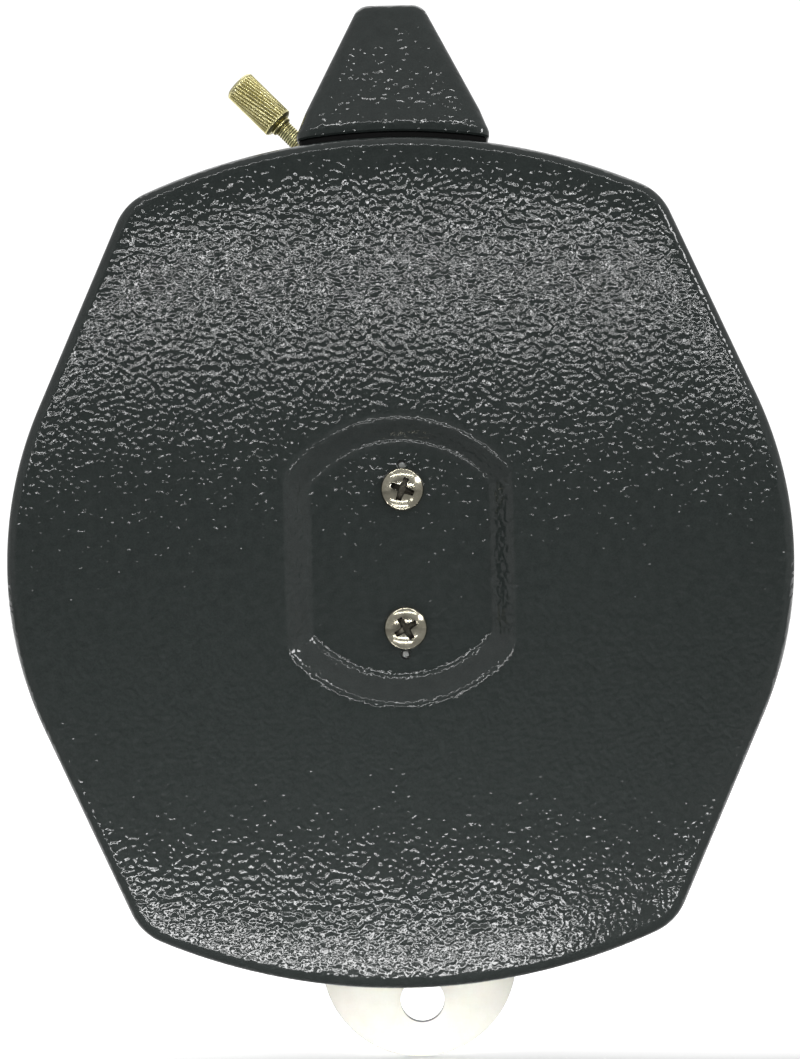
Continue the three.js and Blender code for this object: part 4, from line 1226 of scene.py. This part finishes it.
levels = np.linspace(coil_low[1] + 1.2, coil_high[1] - 1.2, 110)
bulge = COIL_RADIUS - 1.3 * (np.abs(levels - levels.mean()) / (levels[-1] - levels.mean())) ** 2.5
steps_out = np.linspace(COIL_CORE + 0.1, COIL_RADIUS - 2.6, 60)
coil_profile = np.array(
    [(COIL_CORE, coil_low[1] + 0.3), *[(r, coil_low[1] + 0.25 * abs(math.sin(r * 2))) for r in steps_out],
     *zip(bulge, levels), *[(r, coil_high[1] - 0.25 * abs(math.sin(r * 2))) for r in steps_out[::-1]],
     (COIL_CORE, coil_high[1] - 0.3)]
)
coil_rings = swept(coil_profile, (0, 0, 0), ALONG_Y, wound, segments=256)
put("wound_line", stitched(coil_rings, closed=True), "reel", cotton, crease=60)

LEAD_CORNER = np.array([0.0, NOSE_Y, 67.0])
leave = COIL_RADIUS + LINE_RADIUS + 0.3
leave_angle = math.acos(leave / LEAD_CORNER[2])
lead_start = np.array([leave * math.sin(leave_angle), 19.0, leave * math.cos(leave_angle)])


def lead_path(count):
    """Points along the lead's route: a straight, a soft corner, a straight."""
    into = lead_start + (LEAD_CORNER - lead_start) * 0.9
    up = LEAD_CORNER + (0, 0, 4)
    end = np.array([0.0, NOSE_Y, float(span("line_lead")[1][2])])
    t = np.linspace(0, 1, 40)[:, None]
    bend = (1 - t) ** 2 * into + 2 * t * (1 - t) * LEAD_CORNER + t**2 * up
    route = np.vstack([lead_start, bend, end])
    length = np.concatenate([[0], np.cumsum(np.linalg.norm(np.diff(route, axis=0), axis=1))])
    at = np.linspace(0, length[-1], count)
    return np.stack([np.interp(at, length, route[:, k]) for k in range(3)], 1), at


def stranded_rings(path, at, radius, pitch=3.2, segments=30):
    """Rings square to a path whose section is a three-lobed strand that turns once every pitch."""
    tangent = np.gradient(path, axis=0)
    tangent /= np.linalg.norm(tangent, axis=1)[:, None]
    side = np.cross(tangent, (0.0, 1.0, 0.02))
    side /= np.linalg.norm(side, axis=1)[:, None]
    other = np.cross(tangent, side)
    angle = np.linspace(0, 2 * np.pi, segments, endpoint=False)[None, :]
    lobes = 0.80 + 0.20 * np.abs(np.cos(1.5 * (angle - 2 * np.pi * at[:, None] / pitch)))
    return path[:, None] + radius * lobes[..., None] * (
        np.cos(angle)[..., None] * side[:, None] + np.sin(angle)[..., None] * other[:, None]
    )


lead_points, lead_at = lead_path(360)
lead_skin = stitched(stranded_rings(lead_points, lead_at, LINE_RADIUS * 0.98))
put("line_lead", lead_skin, "case", cotton, crease=70)
tell("wound_line", "line_lead")

# %% [markdown]
# ## The crank
#
# On the front, a cast hub comes out through a nylon bush and a felt seal. A square boss drives the arm, a
# screw and washer hold it, and at the arm's end a grip turns on a riveted pin.

# %% Hub, bush and seal
SEAL_OUTER = 16.0
hub_low, hub_high = span("crank_hub")
ARM_LOW, ARM_HIGH = span("crank_arm")
HUB_SHANK, HUB_FLANGE, FLANGE_BACK, FLANGE_FRONT, BOSS_HALF, TONGUE_HALF = 9.1, 13.5, 44.0, 47.0, 4.5, 6.0
tube_piece("hub_seal", HUB_SHANK + 0.2, SEAL_OUTER, "case", felt, edge=0.4)
hub_bush_low, hub_bush_high = span("hub_bush")
step_y = DOME_TOP + 0.1
bush = [
    (HUB_SHANK + 0.1, hub_bush_low[1]), (12, hub_bush_low[1]), (12, step_y), (15.5, step_y),
    (15.5, hub_bush_high[1]), (HUB_SHANK + 0.1, hub_bush_high[1]),
]
put("hub_bush", turned(bush, edge=0.35, segments=96, bored=True), "case", nylon)
hub = turned(
    [(0, SPOOL_FRONT + 0.4), (HUB_SHANK, SPOOL_FRONT + 0.4), (HUB_SHANK, FLANGE_BACK),
     (HUB_FLANGE, FLANGE_BACK), (HUB_FLANGE, FLANGE_FRONT), (0, FLANGE_FRONT)], edge=0.5, segments=96,
)
boss = plate_box(-BOSS_HALF, BOSS_HALF, FLANGE_FRONT - 1, hub_high[1], -BOSS_HALF, BOSS_HALF)
tongue = plate_box(-TONGUE_HALF, TONGUE_HALF, hub_low[1], SPOOL_FRONT + 1, -TONGUE_HALF, TONGUE_HALF)
hub = carved(carved(hub, boss, tongue, operation="UNION"), rod(0, 0, 2.7, 19, 60))
put("crank_hub", hub, "reel", cast_zinc)
tell("hub_seal", "hub_bush", "crank_hub")

# %% Arm, screw, grip and pin
THROW = 44.0
arm_loop = two_arcs(8.5, 12.0, THROW)
arm_loop = arm_loop * (1, -1) - (0, THROW)
arm = stamped(arm_loop[::-1], ARM_LOW[1], ARM_HIGH[1], 0.4)
square = BOSS_HALF + 0.1
arm = carved(
    arm, plate_box(-square, square, ARM_LOW[1] - 1, ARM_HIGH[1] + 1, -square, square),
    rod(0, -THROW, 2.7, ARM_LOW[1] - 1, ARM_HIGH[1] + 1),
)
put("crank_arm", arm, "reel", steel, rim=edge_shade_metal)
tube_piece("hub_washer", 2.7, 8.0, "case", zinc)
HUB_SCREW_SEAT = 50.75
hub_screw = shifted(pan_screw(4.8, 3.0, 2.35, 38.0, 2.5, 0.5, 0.5, 0.7), 0, HUB_SCREW_SEAT, 0)
put("hub_screw", hub_screw, "case", screw_nickel, crease=24)
tube_piece("knob_washer", 2.7, 6.4, "reel", zinc, z=-THROW, edge=0.2)

knob_low, knob_high = span("crank_knob")
KNOB_BORE, FLUTES = 3.2, 10


def fluted(angle, profile):
    """Grip radius: shallow flutes along the waist that fade out towards both ends."""
    radius, height = profile[:, 0:1], profile[:, 1:2]
    waist = np.clip((height - 54.0) / 3, 0, 1) * np.clip((69.0 - height) / 3, 0, 1)
    groove = np.clip(np.cos(FLUTES * angle), 0, 1) ** 2
    return radius - np.where(radius > KNOB_BORE + 1.5, 0.55 * groove * waist, 0)


grip = [
    (KNOB_BORE, knob_low[1]), (7.6, knob_low[1]), (8.2, 51.4), (8, 55), (7.2, 61), (7.6, 66), (9.2, 71),
    (9.2, 72.6), (8, 74.1), (6.4, knob_high[1]), (KNOB_BORE, knob_high[1]),
]
grip = rounded(grip, 1.6, 6, closed=True)
fine = [np.linspace(grip[i], grip[(i + 1) % len(grip)], 4, endpoint=False) for i in range(len(grip))]
grip_rings = swept(np.vstack(fine), (0, 0, -THROW), ALONG_Y, fluted, segments=160)
put("crank_knob", stitched(grip_rings, closed=True), "knob", knob_plastic, crease=60)
pin_low, pin_high = span("knob_pin")
PIN_STEP = knob_high[1] + 0.2
pin = [
    (0, pin_low[1]), (4.6, pin_low[1]), (4.6, 47), (2.6, 47), (2.6, PIN_STEP), (5, PIN_STEP),
    (4.4, PIN_STEP + 1.2), (2.4, PIN_STEP + 2.0), (0, pin_high[1]),
]
put("knob_pin", turned(pin, 0, -THROW, edge=0.4), "reel", zinc)
print(f"{len(pieces_made)} pieces, {sum(pieces_made.values())} faces")

# %% [markdown]
# ## Floor and light
#
# A floor lies under the reel. It glows, from under the reel to behind it, as painted light, and its colour is
# darker in front, as painted shade for the recess's upper wall to reflect. The surroundings are white, and
# the light comes softly from all round. Two narrow bright panels, one above the camera and one below it, are
# what
# the gloss on the enamel shows: their reflections fall in a band across the upper part of the case and
# another across the lower part.

# %% Floor
floor_mesh = bpy.data.meshes.new("floor")
FLOOR_HALF = 1.3
floor_z = cad_box[0][2] - 0.0003
corners = np.array([(-1, -1), (1, -1), (1, 1), (-1, 1)]) * FLOOR_HALF
floor_mesh.from_pydata([(x, y, floor_z) for x, y in corners], [], [(0, 1, 2, 3)])
floor = bpy.data.objects.new("floor", floor_mesh)
bpy.context.scene.collection.objects.link(floor)
pale = Finish("pale_floor", Roughness=0.9, Emission_Strength=1.0)
spot = pale.node("ShaderNodeTexCoord", output="Object")
far = pale.node("ShaderNodeSeparateXYZ", None, {"Vector": spot}, output="Y")
# Painted light: the floor glows from under the reel to behind it. Painted shade: its colour is darker in
# front.
painted_glow = pale.ramp(far * 16.0, (0.25, grey(0.02)), (0.8, grey(0.75)))
front_shaded_tone = pale.ramp(far * 16.0 + 0.1 * pale.noise(0.02), (0.0, grey(0.4)), (0.5, grey(0.95)))
floor_mesh.materials.append(pale.wire(Base_Color=front_shaded_tone, Emission_Color=painted_glow))
print(f"floor {2 * FLOOR_HALF:.1f} m square at z = {floor_z:.4f} m")

# %% [markdown]
# The backdrop is the sky itself: white to the camera, and a little dimmer as a light. The part of it round
# the camera is dark to everything but the camera, as the unlit end of a studio is. The polished parts get
# their contrast from that dark patch, and the enamel stays dark between its bright squiggles. Thin long
# lamps in front do the squiggles: a band high up, one low down, one for the nose, and a narrow beam for the
# tab.

# %% Surroundings
world = bpy.data.worlds.new("surroundings")
bpy.context.scene.world = world
world.use_nodes = True
sky_nodes, sky_links = world.node_tree.nodes, world.node_tree.links
SKY_LIGHT, SKY_DARK, SKY_SEEN = 0.5, 0.16, 1.15
DARK_FROM, DARK_TO = 0.72, 0.92
ray = sky_nodes.new("ShaderNodeLightPath")
bearing = sky_nodes.new("ShaderNodeTexCoord")
facing = sky_nodes.new("ShaderNodeVectorMath")
facing.operation = "DOT_PRODUCT"
facing.inputs[1].default_value = (0.0, -1.0, 0.0)
sky_links.new(bearing.outputs["Generated"], facing.inputs[0])
patch = sky_nodes.new("ShaderNodeMapRange")
patch.interpolation_type = "SMOOTHSTEP"
ranges = {"From Min": DARK_FROM, "From Max": DARK_TO, "To Min": SKY_LIGHT, "To Max": SKY_DARK}
for socket, value in ranges.items():
    patch.inputs[socket].default_value = value
sky_links.new(facing.outputs["Value"], patch.inputs["Value"])
strength = sky_nodes.new("ShaderNodeMapRange")
strength.inputs["To Max"].default_value = SKY_SEEN
sky_links.new(patch.outputs["Result"], strength.inputs["To Min"])
sky_links.new(ray.outputs["Is Camera Ray"], strength.inputs["Value"])
background = sky_nodes["Background"] if "Background" in sky_nodes else sky_nodes.new("ShaderNodeBackground")
background.inputs["Color"].default_value = (1.0, 1.0, 1.0, 1.0)
sky_links.new(strength.outputs["Result"], background.inputs["Strength"])
sky_links.new(background.outputs["Background"], sky_nodes["World Output"].inputs["Surface"])


def panel(name, centre, aim, width, height, watts):
    """A soft rectangular lamp at centre that faces aim, both in metres."""
    data = bpy.data.lights.new(name, "AREA")
    data.shape = "RECTANGLE"
    data.size, data.size_y = width, height
    data.energy = watts
    lamp = bpy.data.objects.new(name, data)
    lamp.location = centre
    away = np.array(aim) - np.array(centre)
    flat = math.hypot(away[0], away[1])
    lamp.rotation_euler = (math.atan2(flat, -away[2]), 0.0, math.atan2(-away[0], away[1]))
    bpy.context.scene.collection.objects.link(lamp)
    return lamp


UPPER_AHEAD, LOWER_AHEAD, EDGE_AHEAD = [(BACK - gap) * MM for gap in (340.0, 150.0, 80.0)]
NEAR_FLOOR = -0.097
JUST_OVER_FLOOR = -0.0975
TAB_LAMP_SPREAD = 0.12
panel("upper_panel", (0.0, UPPER_AHEAD, 0.101), (0.0, 0.0, 0.062), 0.5, 0.004, 0.21)
panel("middle_panel", (0.0, UPPER_AHEAD, 0.076), (0.0, 0.0, 0.044), 0.5, 0.003, 0.14)
panel("lower_panel", (-0.045, LOWER_AHEAD, NEAR_FLOOR), (-0.045, 0.0, -0.072), 0.19, 0.005, 0.06)
panel("corner_panel", (0.094, LOWER_AHEAD, NEAR_FLOOR), (0.094, 0.0, -0.072), 0.03, 0.005, 0.010)
panel("nose_panel", (0.0, -0.375, 0.42), (0.0, 0.0, 0.085), 0.7, 0.009, 0.5)
panel("right_fill", (0.8, -0.6, 0.5), (0.0, 0.0, 0.0), 0.22, 0.22, 2.2)
panel("edge_panel", (-0.02, EDGE_AHEAD, JUST_OVER_FLOOR), (-0.02, 0.0, -0.088), 0.12, 0.004, 0.03)
tab_panel = panel("tab_panel", (0.002, -0.32, JUST_OVER_FLOOR), (0.002, 0.0, -0.0985), 0.05, 0.004, 0.0016)
tab_panel.data.spread = TAB_LAMP_SPREAD
panel("overhead", (0.0, 1.3, 1.3), (0.0, 1.0, 0.0), 1.6, 1.6, 8.0)
print("lamps:", ", ".join(lamp.name for lamp in bpy.data.lights))
